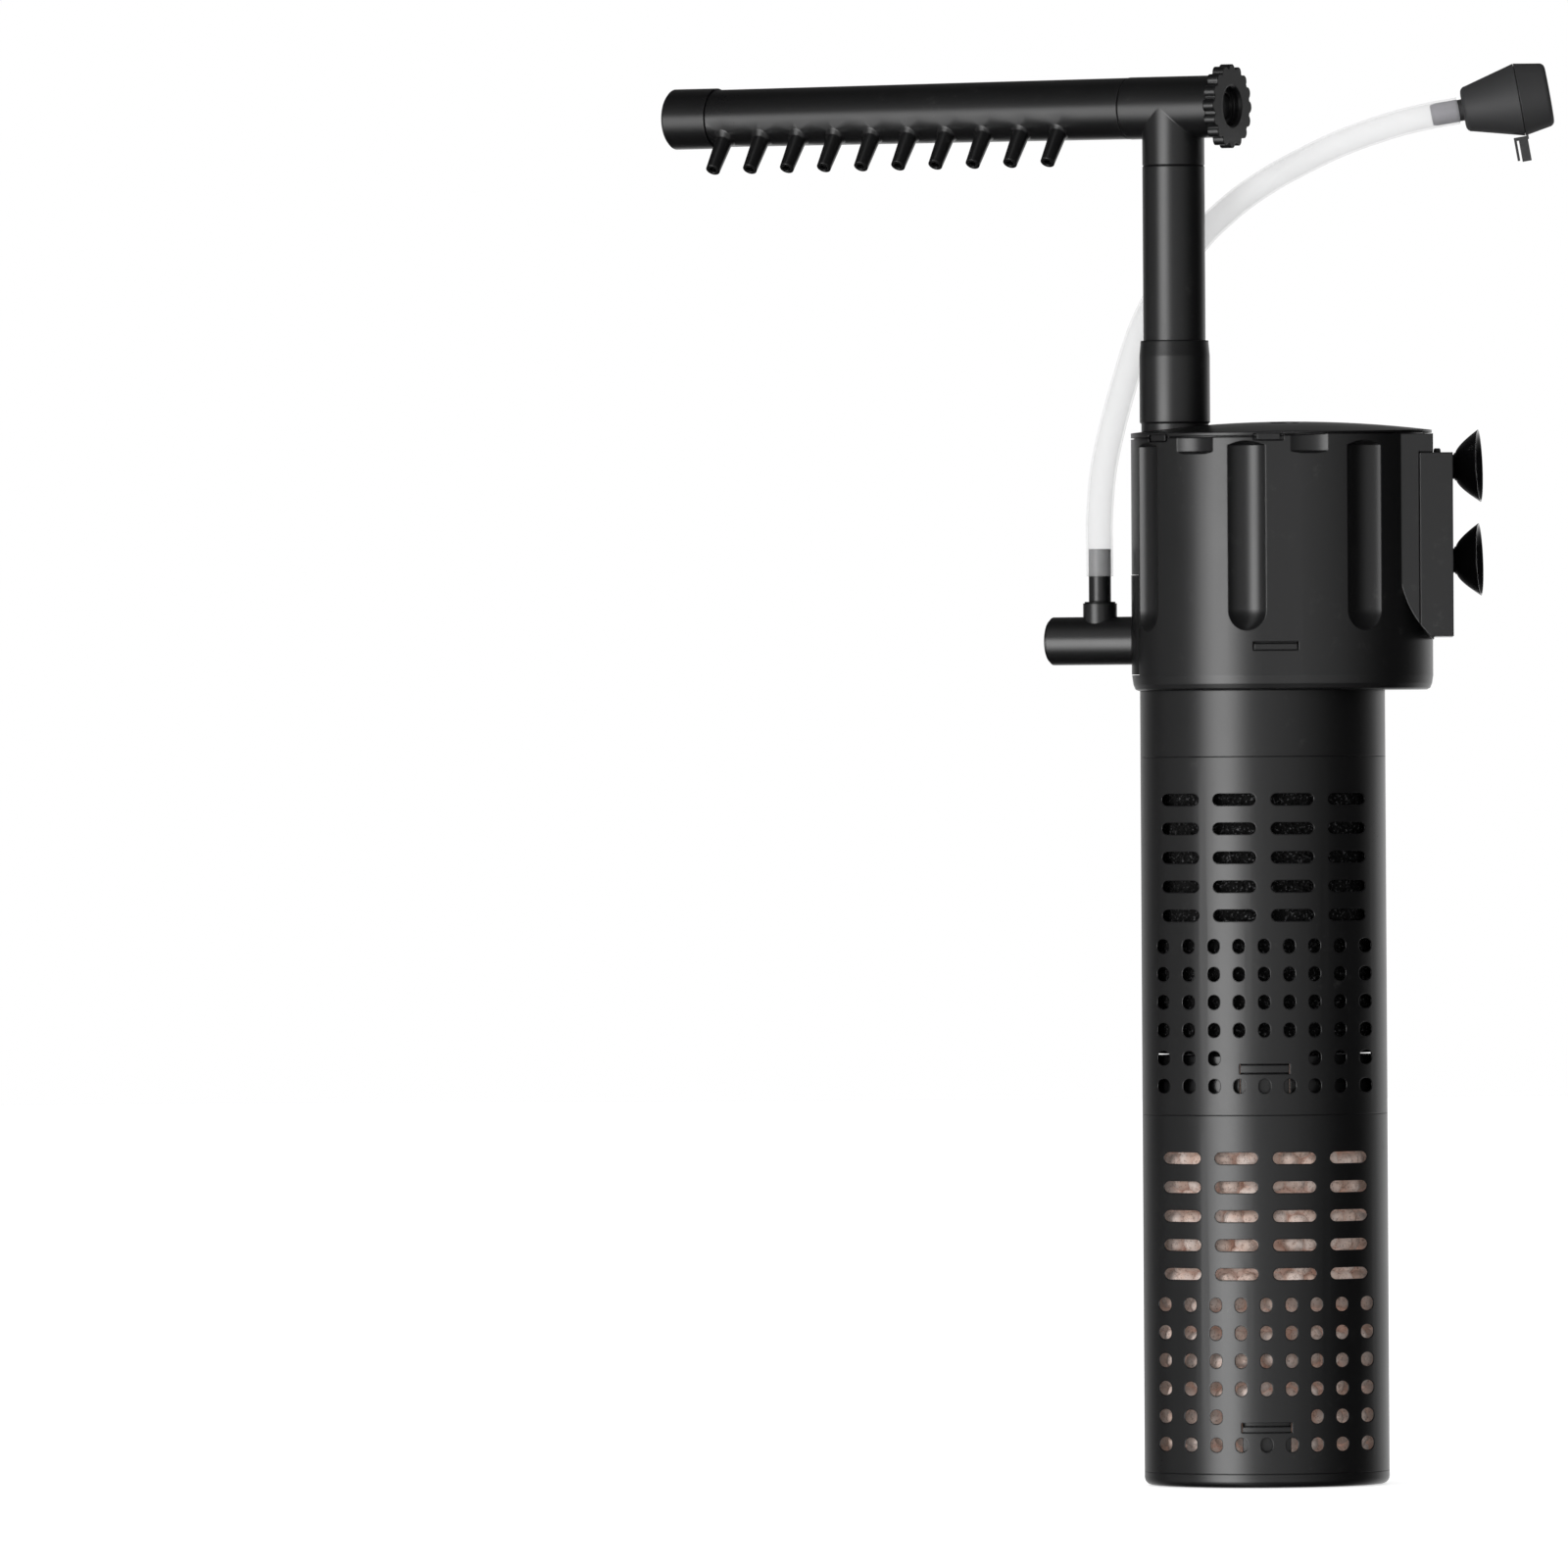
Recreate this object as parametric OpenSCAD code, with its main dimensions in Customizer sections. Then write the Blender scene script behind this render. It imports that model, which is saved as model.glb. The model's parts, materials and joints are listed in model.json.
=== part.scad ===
// Submersible aquarium filter. Two stacked media baskets hang under a pump head.
// The head blows water through a swivelling outlet with an air tube, and up a riser
// to a spray bar. Millimetres, +Z up, origin at the centre of the foot's underside.

/* [Baskets] */
// Outside diameter of the baskets
can_d = 62.5; // [61.5:0.5:64]
// Wall of the baskets and the collar
can_wall = 2.1; // [1.7:0.1:2.4]
// Visible length of one basket
basket_l = 91; // [90:0.2:110]
// Thickness of the foot plate
foot_t = 3.5; // [3:0.1:6]
// Rounding of the foot plate's lower edge
foot_round = 2; // [0.5:0.1:2.5]
// Height of the ring that centres the foot in the basket
foot_ring_h = 5; // [4:0.5:6]
// Height of the neck that plugs into the part above
neck_h = 15; // [14:0.5:16]
// Wall of the neck
neck_wall = 1.7; // [1.4:0.1:2.2]
// Radial clearance of a neck in the part above
neck_gap = 0.15; // [0.1:0.05:0.3]
// Thickness of the grid that closes a neck
grid_t = 1.8; // [1.2:0.1:3]
// Diameter of a grid hole
grid_hole_d = 5.5; // [4:0.1:6.5]
// Distance between grid holes
grid_pitch = 8; // [7.5:0.1:9]
// Height of the plain collar under the pump head
collar_h = 16.9; // [16.5:0.1:22]

/* [Basket openings] */
// Number of slot rows
slot_rows = 5; // [3:1:5]
// Height of a slot
slot_h = 3; // [2:0.1:4]
// Distance between slot rows
slot_pitch = 7.35; // [6:0.05:7.6]
// Height of the lowest slot row above the basket's lower edge
slot_z = 50.7; // [50:0.1:54]
// Sideways place of the inner slots
slot_in_x = 7.35; // [7:0.05:8]
// Length of the inner slots
slot_in_l = 10.9; // [8:0.1:12]
// Sideways place of the outer slots
slot_out_x = 21.05; // [20:0.05:22]
// Length of the outer slots
slot_out_l = 9.3; // [7:0.1:10]
// Number of hole rows
hole_rows = 6; // [4:1:6]
// Number of hole columns
hole_cols = 9; // [5:2:9]
// Width of a hole
hole_w = 3; // [2:0.1:4]
// Height of a hole
hole_h = 3.65; // [3.2:0.05:5]
// Distance between hole columns
hole_pitch_x = 6.4; // [6:0.1:6.6]
// Distance between hole rows
hole_pitch_z = 7.1; // [6:0.05:7.3]
// Height of the lowest hole row above the basket's lower edge
hole_z = 7.4; // [6.5:0.1:7.8]

/* [Latches] */
// Width of a latch window
window_w = 12.8; // [10:0.1:13]
// Height of a latch window
window_h = 2.5; // [2:0.1:3]
// Height of a window above the lower edge of its part
window_z = 10.5; // [10:0.1:11]
// Clearance beside a hook in its window
hook_gap = 0.25; // [0.15:0.05:0.5]
// Clearance above the foot's hooks, which carry it
foot_hook_gap = 1; // [0.2:0.1:1.2]
// Clearance above the pump head's hooks
head_hook_gap = 0.5; // [0.2:0.1:1]
// Depth by which a hook's face lies below the outside
hook_sink = 0.25; // [0.1:0.05:0.6]
// Thickness of the latch tongues at the pump head
head_tongue_t = 1.4; // [1.2:0.1:1.4]
// Sideways place of the pump head's latch windows
head_latch_x = 3.45; // [0:0.05:4]
// Height of the pump head's latch windows above its lower edge
head_window_z = 10; // [9.5:0.1:11]

/* [Pump head] */
// Radius of the head's round ends
head_r = 33.2; // [33:0.1:34]
// Distance between the centres of the round ends
head_shift = 10.4; // [9:0.1:12]
// Wall of the pump housing
head_wall = 2.4; // [2:0.1:2.5]
// Height of the lid's seam above the collar, at the outlet side
seam_h = 64.1; // [62:0.1:64.3]
// Rise of the seam towards the suction cups
seam_rise = 0.8; // [0:0.1:1]
// Height of the lid's crest above the collar
crest_h = 68.5; // [68.4:0.1:72]
// Radius of the lid's dome, seen from the front
dome_r = 290; // [280:10:400]
// Radius of the lid's dome, seen from the side
dome_side_r = 190; // [185:5:240]
// Wall of the lid
lid_wall = 2; // [1.5:0.1:2.4]
// Width of a finger flute
flute_w = 9.7; // [8:0.1:11]
// Radius that rounds a finger flute
flute_r = 7; // [6:0.1:8]
// Height of a flute's lower end above the collar
flute_z = 15.4; // [14:0.1:20]
// Height of the plain band between a flute and the lid's seam
flute_band = 0.8; // [0.6:0.1:3]
// Depth of the finger recesses under the lid's seam
recess_h = 3.6; // [2:0.1:5]
// Height of the shadow gap under the lid's edge
lid_gap = 0.4; // [0.2:0.1:0.8]
// Thickness of the plate that closes the head's underside
deck_t = 1.4; // [1:0.1:2]

/* [Pump] */
// Distance of the rotor from the axis of the baskets
rotor_x = 18.5; // [17.5:0.5:19]
// Radius of the pump chamber
chamber_r = 13; // [12.5:0.1:13.5]
// Height of the pump chamber
chamber_h = 14; // [13:0.5:15]
// Radius of the impeller
impeller_r = 11.8; // [10:0.1:12]
// Number of impeller blades
blades = 6; // [4:1:8]
// Thickness of an impeller blade
blade_t = 1.3; // [1:0.1:2]
// Radius of the intake eye
eye_r = 8; // [7:0.1:9]
// Diameter of the rotor's fixed shaft
shaft_d = 3; // [2.5:0.1:4]
// Diameter of the rotor magnet
magnet_d = 16.2; // [14:0.1:17]
// Length of the rotor magnet
magnet_l = 24; // [18:1:25]
// Thickness of the stator's lamination stack
stack_t = 14; // [10:1:15]

/* [Swivel outlet] */
// Radius of the swivel drum
drum_r = 14.8; // [14.7:0.05:15.3]
// Height of the swivel drum
drum_h = 25.3; // [24:0.1:27]
// Distance of the drum's pivot from the axis of the baskets
pivot_x = -18.5; // [-18.6:0.1:-18.2]
// Angle that the outlet points away from the side, at rest
outlet_angle = 21; // [10:1:24]
// Angle through which the outlet swings forwards
outlet_swing = 35; // [20:1:36]
// Outside diameter of the outlet
outlet_d = 12.3; // [11.5:0.1:13]
// Bore of the outlet
outlet_bore = 9.2; // [8:0.1:10]
// Distance of the outlet's mouth from the drum's pivot
outlet_l = 37.8; // [33:0.1:46]
// Height of the outlet above the collar
outlet_z = 12.9; // [11.5:0.1:14]
// Distance of the air nipple from the drum's pivot
nipple_l = 24.5; // [23.5:0.1:26]
// Diameter of the air nipple's collar
nipple_collar_d = 8.7; // [8:0.1:10]
// Diameter of the air nipple
nipple_d = 5.7; // [5:0.1:6]
// Height of the nipple's collar above the outlet's axis
nipple_collar_h = 10; // [8:0.5:11]
// Height of the air nipple above the outlet's axis
nipple_h = 23.5; // [20:0.5:24]

/* [Suction bracket] */
// Distance from the head's middle to the bracket's sliding face
rail_x = 43.7; // [43.6:0.1:45]
// Width of the bracket and of the block that carries it
bracket_w = 43.4; // [40:0.2:46]
// Thickness of the bracket's back plate
plate_t = 4.8; // [4:0.1:6]
// Depth by which the bracket's sides reach forwards
flange_d = 3.4; // [3:0.1:4]
// Thickness of the bracket's sides
flange_t = 3.2; // [2.8:0.1:4]
// Height of the bracket
bracket_h = 46.7; // [44:0.1:50]
// Height of the bracket's lower edge above the collar
bracket_z = 13.4; // [12:0.1:14]
// Running clearance of the bracket on its rail
rail_gap = 0.2; // [0.15:0.05:0.4]
// Diameter of a suction cup's rim
cup_d = 18.5; // [16:0.25:22]
// Depth of a suction cup's bell
cup_depth = 6; // [5:0.1:8]
// Diameter of a suction cup's stem
stem_d = 6.3; // [5:0.1:8]
// Distance between the suction cups
cup_pitch = 23.9; // [22:0.1:28]
// Height of the lower cup above the bracket's lower edge
cup_z = 19.4; // [12:0.1:20]
// Angle by which the cups lean to one side
cup_lean = 6; // [0:1:8]

/* [Riser and spray bar] */
// Distance of the riser from the axis of the baskets
riser_x = -21.9; // [-22.4:0.1:-21.5]
// Outside diameter of the riser and the tee
riser_d = 15.9; // [15.5:0.1:16.4]
// Bore of the riser
riser_bore = 12; // [10:0.1:12.4]
// Outside diameter of the riser's socket
socket_d = 18; // [17.9:0.1:20]
// Height of the socket above the lid's crest
socket_h = 20.8; // [18:0.1:30]
// Height of the tee's lower edge above the lid's crest
riser_h = 65.4; // [50:0.1:120]
// Height of the spray bar's axis above the tee's lower edge
tee_h = 14.9; // [12:0.1:18]
// Length of the tee's arm at the spray bar
arm_l = 12.2; // [12:0.1:18]
// Length of the tee's arm at the flow dial
dial_arm_l = 13.8; // [13:0.1:18]
// Angle by which the spray bar is turned at rest
bar_yaw = 27.3; // [0:0.1:45]
// Diameter of the spray bar at the tee
bar_d = 15.7; // [15.2:0.1:16]
// Diameter of the spray bar at its far end
bar_tip_d = 14.8; // [14.4:0.1:15.4]
// Bore of the spray bar
bar_bore = 11.5; // [10:0.1:12]
// Distance of the end cap's edge from the riser
bar_l = 132.6; // [110:0.1:180]
// Length of the end cap
cap_l = 12.8; // [8:0.1:16]
// Diameter of the end cap
cap_d = 15.6; // [15.5:0.1:17]
// Distance between spray nozzles
jet_pitch = 10.84; // [8:0.02:14]
// Distance of the first spray nozzle from the riser
jet_x = 30.6; // [24:0.1:34]
// Diameter of a spray nozzle at its tip
jet_d = 3.7; // [3.2:0.1:4]
// Diameter of a spray nozzle at the bar
jet_root_d = 4.6; // [4.2:0.1:5]
// Bore of a spray nozzle
jet_bore = 2.2; // [1:0.1:2.4]
// Length of a spray nozzle from the bar's axis
jet_l = 17.5; // [14:0.5:20]
// Angle of the spray nozzles from straight down
jet_angle = 38.5; // [0:0.5:60]
// Number of teeth on the flow dial
dial_teeth = 16; // [12:1:20]
// Diameter over the dial's teeth
dial_d = 21.4; // [20:0.1:24]
// Thickness of the flow dial
dial_t = 3; // [2.5:0.1:5]
// Diameter of the recess in the dial's face
dial_recess_d = 9.8; // [8:0.1:11]
// Radial clearance of plugs and spindles in the riser's joints
plug_gap = 0.1; // [0.08:0.02:0.2]

/* [Air tube] */
// Outside diameter of the air tube
tube_d = 6.9; // [5.8:0.1:7]
// Angle by which the air valve rises
valve_tilt = 10; // [0:1:20]
// Length of the valve's cone
valve_cone_l = 14.5; // [12:0.5:20]
// Smaller diameter of the valve's cone
valve_d1 = 11.8; // [9:0.1:13]
// Larger diameter of the valve's cone
valve_d2 = 18.7; // [15:0.1:20]
// Length of the valve's cap
valve_cap_l = 7.8; // [7:0.1:12]

/* [Hidden] */
$fn = 64;

can_r = can_d / 2;
can_ri = can_r - can_wall;
neck_ro = can_ri - neck_gap;
neck_ri = neck_ro - neck_wall;
over = 1;            // how far a cutter runs past what it cuts
seat = 0.3;          // rest gap between loose pieces
latch_root = 2.5;    // height of a tongue's root above its neck
pocket_d = 1.2;      // depth of the blind latch pockets in the collar
shoulder = 3;        // height of the step from a basket's wall to its neck
tongue_w = window_w - 2 * hook_gap;
head_window_w = window_w - 1.3;
head_window_h = window_h - 0.3;
head_tongue_h = 14;
hook_seat = 0.1;      // gap under a hook that carries the part below

basket1_z = foot_t;
basket2_z = basket1_z + basket_l;
collar_z = basket2_z + basket_l;
head_z = collar_z + collar_h;

lip_t = 2.6;                          // floor lip of the pump housing
deck_z = head_z + lip_t;
pump_z = deck_z + deck_t;             // floor of the pump chamber
well_z = pump_z + chamber_h;          // underside of the rotor well's flange
well_flange_t = 2;
case_z = well_z + well_flange_t;
head_ri = head_r - head_wall;
seam_z = head_z + seam_h;
crest_z = head_z + crest_h;
crest_x = 7;
seam_ramp = [-2, 18];                 // where the seam's rise starts and ends

flute_at = [[-61, 0], [-6.5, 0], [28.6, 1]];   // angle from the front, and which round end
flute_axis = sqrt(pow(head_r, 2) - pow(flute_w / 2, 2)) + sqrt(pow(flute_r, 2) - pow(flute_w / 2, 2));
flute_wall = 2;
flute_depth = head_r - flute_axis + flute_r;
flute_close = 1.3;                    // height of the cone that closes a flute
recesses = [[-17, 10.6], [12.4, 9.4]];         // sideways place and width of each recess
recess_r = 12;
recess_ledge = 0.5;                   // chamfer of a recess's lower edge
clip_at = [-26.4, 1.9];
clip_w = 5.9;
clip_side = 0.9;                      // gap beside a clip in its notch
clip_rise = 0.9;                      // height of a notch above and below the lid's seam
notch_d = 1.4;                        // depth of a notch
lid_gap_d = 0.8;                      // depth of the shadow gap under the lid

drum_z = pump_z + 0.2;
drum_wall = 1.8;
drum_sill = 0.5;                      // step from the drum's floor to its inlet
drum_gap = 0.2;
outlet_half = asin(outlet_d / 2 / drum_r);      // half the angle that the outlet takes up
window_back = outlet_angle + outlet_half + 2;   // edges of the outlet's window
window_front = outlet_swing - outlet_angle + outlet_half + 2;
pocket_r = drum_r + drum_gap;
pocket_top = drum_z + drum_h + drum_gap;
chamber_wall = 1.6;
cord_x = 5.9;                         // mains cord's inlet, in the dome's front slope
cord_y = -12;
gland_drop = 0.9;                     // depth of the gland's rim under the crest
gland_h = 7;
cord_r = 3;
gland_r = 4;
duct_ro = 7.5;
duct_ri = 6.2;
duct_top = seam_z - 1.5;
link_w = 11;                          // duct from the pump chamber to the drum
link_h = 10;

well_ri = magnet_d / 2 + 0.5;
well_wall = 1.2;
well_h = 35;
magnet_z = case_z + well_h - magnet_l - 5;
shaft_r = shaft_d / 2;
spin_gap = 0.06;
bush_r = 3.2;
hub_r = 4.5;
impeller_z = pump_z + 2.4;
impeller_h = chamber_h - 4;
case_h = 37;
case_w = 35;
case_wall = 1.8;
case_x = [-11, pivot_x + pocket_r + chamber_wall + 0.4, 33];
case_step_z = pocket_top + chamber_wall + 0.5;   // the case's narrow end clears the drum below
stack_z = case_step_z + case_wall + 0.3;
leg_in = 4.6;                         // the core's legs lie between these distances from the middle
leg_out = 13;
pole_l = 11;                          // how far the poles reach past the rotor's axis
coil_t = 2.4;
coil_gap = 0.2;

block_top = head_z + 65.5;
block_x = 35.1;                       // where the block's side leaves the round end
block_turn_z = head_z + 31.4;           // where the block's front edge starts to curve back
block_turn_r = 24.6;
rail_stop_z = head_z + bracket_z + bracket_h;
lip_d = 1.6;                          // hooked lips of the bracket
lip_w = 2.2;
stem_head_r = 4.8;
stem_head_t = 1.8;
cup_wall = 1.2;
stem_show = 1;                        // length of a stem between the plate and the bell
cup_tilt = 2;                         // angle by which the cups point upwards

riser_r = riser_d / 2;
socket_bore_r = riser_r + plug_gap;
socket_seat_z = crest_z + 2;          // where the riser stands in its socket
socket_taper = 4;                     // height of the socket's chamfer
seal_z = socket_seat_z + 6;
joint_z = crest_z + riser_h;
bar_z = joint_z + tee_h;
plug_r = 6.8;                         // plugs and spindles inside the tee
plug_l = 8;
plug_bore_r = 4.4;
cap_plug_r = 6.9;
cap_wall_end = 1.5;
seal_d = 1.4;                         // thickness of the sealing rings
edge = 0.25;                          // chamfer where two pipes meet
dial_back = dial_arm_l + 0.2;
dial_plug_x = dial_back + 0.4 - plug_l / 2;    // the ring on the dial's spindle
tooth_r = 1.55;
jet_collar = 1;                       // how far a nozzle's foot stands out round it
jets = floor((bar_l - jet_x - jet_root_d / 2 - jet_collar) / jet_pitch) + 1;    // as many as the bar holds

nipple_top = head_z + outlet_z + nipple_h;
nipple_x = pivot_x - nipple_l * cos(outlet_angle);
nipple_y = nipple_l * sin(outlet_angle);
air_bore = 3;
tube_back = riser_d / 2 + tube_d / 2 + 0.4;     // where the tube leans on the back of the riser
// Sideways place, height above the nipple's tip, and share of the way from nipple to riser
tube_route = [
    [0, 7.5, 0.03], [1, 19.5, 0.15], [3.4, 31, 0.4], [6.9, 43.5, 0.75], [11.4, 57, 0.95],
    [17.9, 69, 1], [26.4, 80, 1], [31.5, 85, 1.02], [36.9, 89.5, 1.05], [42.8, 93.5, 1.08],
    [48.9, 97, 1.1], [61.4, 103.1, 1.15], [74.4, 107.7, 1.2], [84.4, 110.2, 1.25]
];
tube_end = [nipple_x + 92.4, tube_y(1.3), nipple_top + 111.6];
tube_sides = 10;
valve_neck_l = 1.2;
valve_neck_r = 2.75;
valve_round = 1.6;                    // rounding of the cone's small end
valve_split = 0.15;                   // gap between the valve and its cap
cap_taper = 1.1;                      // how much smaller the cap's end is than its rim
cap_round = 1.5;
lever_l = 6.3;                        // the cap's lever: length, width and thickness
lever_w = 3.5;
lever_t = 2.3;
fin_t = 0.6;                          // thin fin before the lever

function mirrored(points) = [for (i = [len(points) - 1:-1:0]) [-points[i][0], points[i][1]]];

// A tube along Z.
module tube(ro, ri, h) {
    difference() {
        cylinder(r = ro, h = h);
        translate([0, 0, -over]) cylinder(r = ri, h = h + 2 * over);
    }
}

// A cuboid centred on X and Y that stands on its origin.
module post(x, y, z) {
    translate([-x / 2, -y / 2, 0]) cube([x, y, z]);
}

// The head's plan: two round ends joined by flat sides.
module head_plan(r) {
    circle(r = r);
    translate([head_shift, 0]) circle(r = r);
    translate([0, -r]) square([head_shift, 2 * r]);
}

module head_prism(r, z0, z1) {
    translate([0, 0, z0]) linear_extrude(z1 - z0) head_plan(r);
}

// A turned outline swept round the head's plan. The outline starts and ends on the axis.
module head_sweep(outline) {
    rotate_extrude() polygon(outline);
    translate([head_shift, 0, 0]) rotate_extrude() polygon(outline);
    rotate([90, 0, 90]) linear_extrude(head_shift) polygon(concat(outline, mirrored(outline)));
}

// Everything above the lid's seam, which rises towards the suction cups.
module above_seam(lift) {
    far = head_r + 2 * head_shift;
    translate([0, far, 0]) rotate([90, 0, 0]) linear_extrude(2 * far)
        polygon([
            [-far, seam_z + lift], [seam_ramp[0], seam_z + lift],
            [seam_ramp[1], seam_z + seam_rise + lift], [far, seam_z + seam_rise + lift],
            [far, crest_z + 20], [-far, crest_z + 20]
        ]);
}

// Children at the two opposite latches, seen from the front and from the back.
module front_and_back() {
    for (turn = [0, 180]) rotate([0, 0, turn]) children();
}

// ---- baskets ----

module slot_shape(length) {
    reach = (length - slot_h) / 2;
    translate([-reach, 0]) circle(d = slot_h);
    translate([reach, 0]) circle(d = slot_h);
    translate([-reach, -slot_h / 2]) square([2 * reach, slot_h]);
}

module hole_shape() {
    reach = (hole_h - hole_w) / 2;
    translate([0, -reach]) circle(d = hole_w);
    translate([0, reach]) circle(d = hole_w);
    translate([-hole_w / 2, -reach]) square([hole_w, 2 * reach]);
}

// One opening drawn in the XZ plane and cut through both walls.
module through_cut(x, z) {
    translate([x, can_r + over, z]) rotate([90, 0, 0]) linear_extrude(can_d + 2 * over) children();
}

// Is this hole where the latch window is?
function under_window(row, col) =
    abs(hole_z + row * hole_pitch_z - window_z - window_h / 2) < (hole_h + window_h) / 2
    && abs(col) * hole_pitch_x < (window_w + hole_w) / 2 + 0.5;

module basket_openings() {
    half = (hole_cols - 1) / 2;
    for (row = [0:slot_rows - 1], side = [-1, 1]) {
        through_cut(side * slot_in_x, slot_z + row * slot_pitch) slot_shape(slot_in_l);
        through_cut(side * slot_out_x, slot_z + row * slot_pitch) slot_shape(slot_out_l);
    }
    for (row = [0:hole_rows - 1], col = [-half:half])
        if (!under_window(row, col))
            through_cut(col * hole_pitch_x, hole_z + row * hole_pitch_z) hole_shape();
    translate([0, 0, window_z]) post(window_w, can_d + 2 * over, window_h);
}

module grid_holes(z) {
    rings = floor((neck_ri - grid_hole_d / 2) / grid_pitch);
    translate([0, 0, z - over]) {
        cylinder(d = grid_hole_d, h = grid_t + 2 * over);
        for (ring = [1:rings], i = [0:6 * ring - 1])
            rotate([0, 0, i * 60 / ring]) translate([ring * grid_pitch, 0, 0])
                cylinder(d = grid_hole_d, h = grid_t + 2 * over);
    }
}

// Notches that leave room for the two latch tongues in a neck.
module tongue_notches(z) {
    front_and_back() translate([0, -neck_ro, z])
        post(tongue_w + 2 * hook_gap, 3 * neck_wall, neck_h + over);
}

module basket() {
    top = basket_l + neck_h;
    difference() {
        rotate_extrude() polygon([
            [can_ri, 0], [can_r, 0], [can_r, basket_l], [neck_ro, basket_l], [neck_ro, top],
            [0, top], [0, top - grid_t], [neck_ri, top - grid_t], [neck_ri, basket_l - 1],
            [can_ri, basket_l - shoulder]
        ]);
        basket_openings();
        grid_holes(top - grid_t);
        tongue_notches(basket_l + latch_root);
    }
}

// Two sprung tongues that stand on a neck. Their hooks catch in the part above.
module latch_pair(neck_z, hook_r, low_gap, top_gap) {
    hook_z = neck_z + window_z + low_gap;
    hook_h = window_h - low_gap - top_gap;
    front_and_back() {
        intersection() {
            translate([0, 0, neck_z + latch_root]) tube(neck_ro, neck_ri, neck_h - latch_root - seat);
            translate([0, -neck_ro, neck_z]) post(tongue_w, 4 * neck_wall, neck_h);
        }
        intersection() {
            translate([0, 0, hook_z]) tube(hook_r, neck_ri + neck_wall / 2, hook_h);
            translate([0, -neck_ro, hook_z]) post(tongue_w, 4 * neck_wall, hook_h);
        }
    }
}

module base_cap() {
    round_steps = 6;
    color([0.13, 0.13, 0.135]) difference() {
        rotate_extrude() polygon(concat(
            [[0, 0]],
            [for (i = [0:round_steps]) let (a = 90 * i / round_steps)
                [can_r - foot_round * (1 - sin(a)), foot_round * (1 - cos(a))]],
            [[can_r, foot_t], [neck_ro, foot_t], [neck_ro, foot_t + foot_ring_h],
             [neck_ri, foot_t + foot_ring_h], [neck_ri, foot_t], [0, foot_t]]
        ));
        tongue_notches(foot_t + latch_root);
    }
}

module base_latches() {
    color([0.15, 0.15, 0.155]) latch_pair(foot_t, can_r - hook_sink, hook_seat, foot_hook_gap);
}

// A bed of loose ceramic pieces, wider between the foot's latches and the neck.
module ceramic_media() {
    narrow = neck_ri - seat;
    wide = can_ri - seat;
    low = foot_t + seat;
    wide_z0 = foot_t + neck_h + 2;
    wide_z1 = basket2_z - shoulder - 2;
    high = basket2_z + neck_h - grid_t - seat;
    color([0.72, 0.6, 0.53]) rotate_extrude() polygon([
        [0, low], [narrow, low], [narrow, wide_z0 - 2], [wide, wide_z0], [wide, wide_z1],
        [narrow, wide_z1 + 2], [narrow, high], [0, high]
    ]);
}

module lower_basket() {
    color([0.13, 0.13, 0.135]) translate([0, 0, basket1_z]) basket();
}

module lower_latches() {
    color([0.15, 0.15, 0.155]) latch_pair(basket2_z, can_r - hook_sink, hook_gap, hook_gap);
}

module filter_sponge() {
    narrow = neck_ri - seat;
    wide = can_ri - seat;
    low = basket2_z + neck_h + seat;
    wide_z1 = collar_z - shoulder - 2;
    high = collar_z + neck_h - grid_t - seat;
    core = 5;
    color([0.07, 0.07, 0.075]) rotate_extrude() polygon([
        [core, low], [wide, low], [wide, wide_z1], [narrow, wide_z1 + 2], [narrow, high], [core, high]
    ]);
}

module upper_basket() {
    color([0.13, 0.13, 0.135]) translate([0, 0, basket2_z]) basket();
}

module upper_latches() {
    color([0.15, 0.15, 0.155]) latch_pair(collar_z, can_ri + pocket_d - hook_sink, hook_gap, hook_gap);
}

// The upper basket's hooks catch in blind pockets inside the collar.
module intake_collar() {
    plug_top = head_z + lip_t - 0.4;
    color([0.13, 0.13, 0.135]) difference() {
        rotate_extrude() polygon([
            [can_ri, collar_z], [can_r, collar_z], [can_r, head_z], [neck_ro, head_z],
            [neck_ro, plug_top], [neck_ri, plug_top], [neck_ri, head_z - 1.6], [can_ri, head_z - 1.6]
        ]);
        intersection() {
            translate([0, 0, collar_z + window_z]) tube(can_ri + pocket_d, neck_ri, window_h);
            translate([0, 0, collar_z + window_z]) post(window_w, can_d, window_h);
        }
    }
}

// Flat tongues on the collar that hook into the pump housing's windows.
module head_latches() {
    outer = head_ri - 0.4;
    width = head_window_w - 2 * hook_gap;
    color([0.15, 0.15, 0.155]) for (side = [-1, 1]) translate([head_latch_x, 0, head_z]) {
        translate([0, side * (outer - head_tongue_t / 2), 0]) post(width, head_tongue_t, head_tongue_h);
        translate([0, side * (outer + head_r - hook_sink) / 2, head_window_z + hook_seat])
            post(width, head_r - hook_sink - outer, head_window_h - hook_seat - head_hook_gap);
    }
}

// Room for the head's latch tongues.
module head_tongue_slots(z, h) {
    for (side = [-1, 1]) translate([head_latch_x, side * (head_ri - 1.2), z])
        post(head_window_w, head_tongue_t + 0.9, h);
}

// ---- pump head ----

// Children at each finger flute's axis, on both long sides.
module at_flutes() {
    for (f = flute_at, side = [-1, 1])
        translate([f[1] * head_shift + flute_axis * sin(f[0]), side * flute_axis * cos(f[0]), 0])
            children();
}

module flute_core(r, top) {
    z = head_z + flute_z + flute_w / 2;
    translate([0, 0, z]) {
        sphere(r = r);
        cylinder(r = r, h = top - z);
    }
}

// One flute, closed by a cone below the lid's seam.
module flute() {
    top = seam_z - flute_band - flute_close;
    flute_core(flute_r, top);
    translate([0, 0, top]) cylinder(r1 = flute_r, r2 = flute_r - flute_depth - 0.2, h = flute_close);
}

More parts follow.
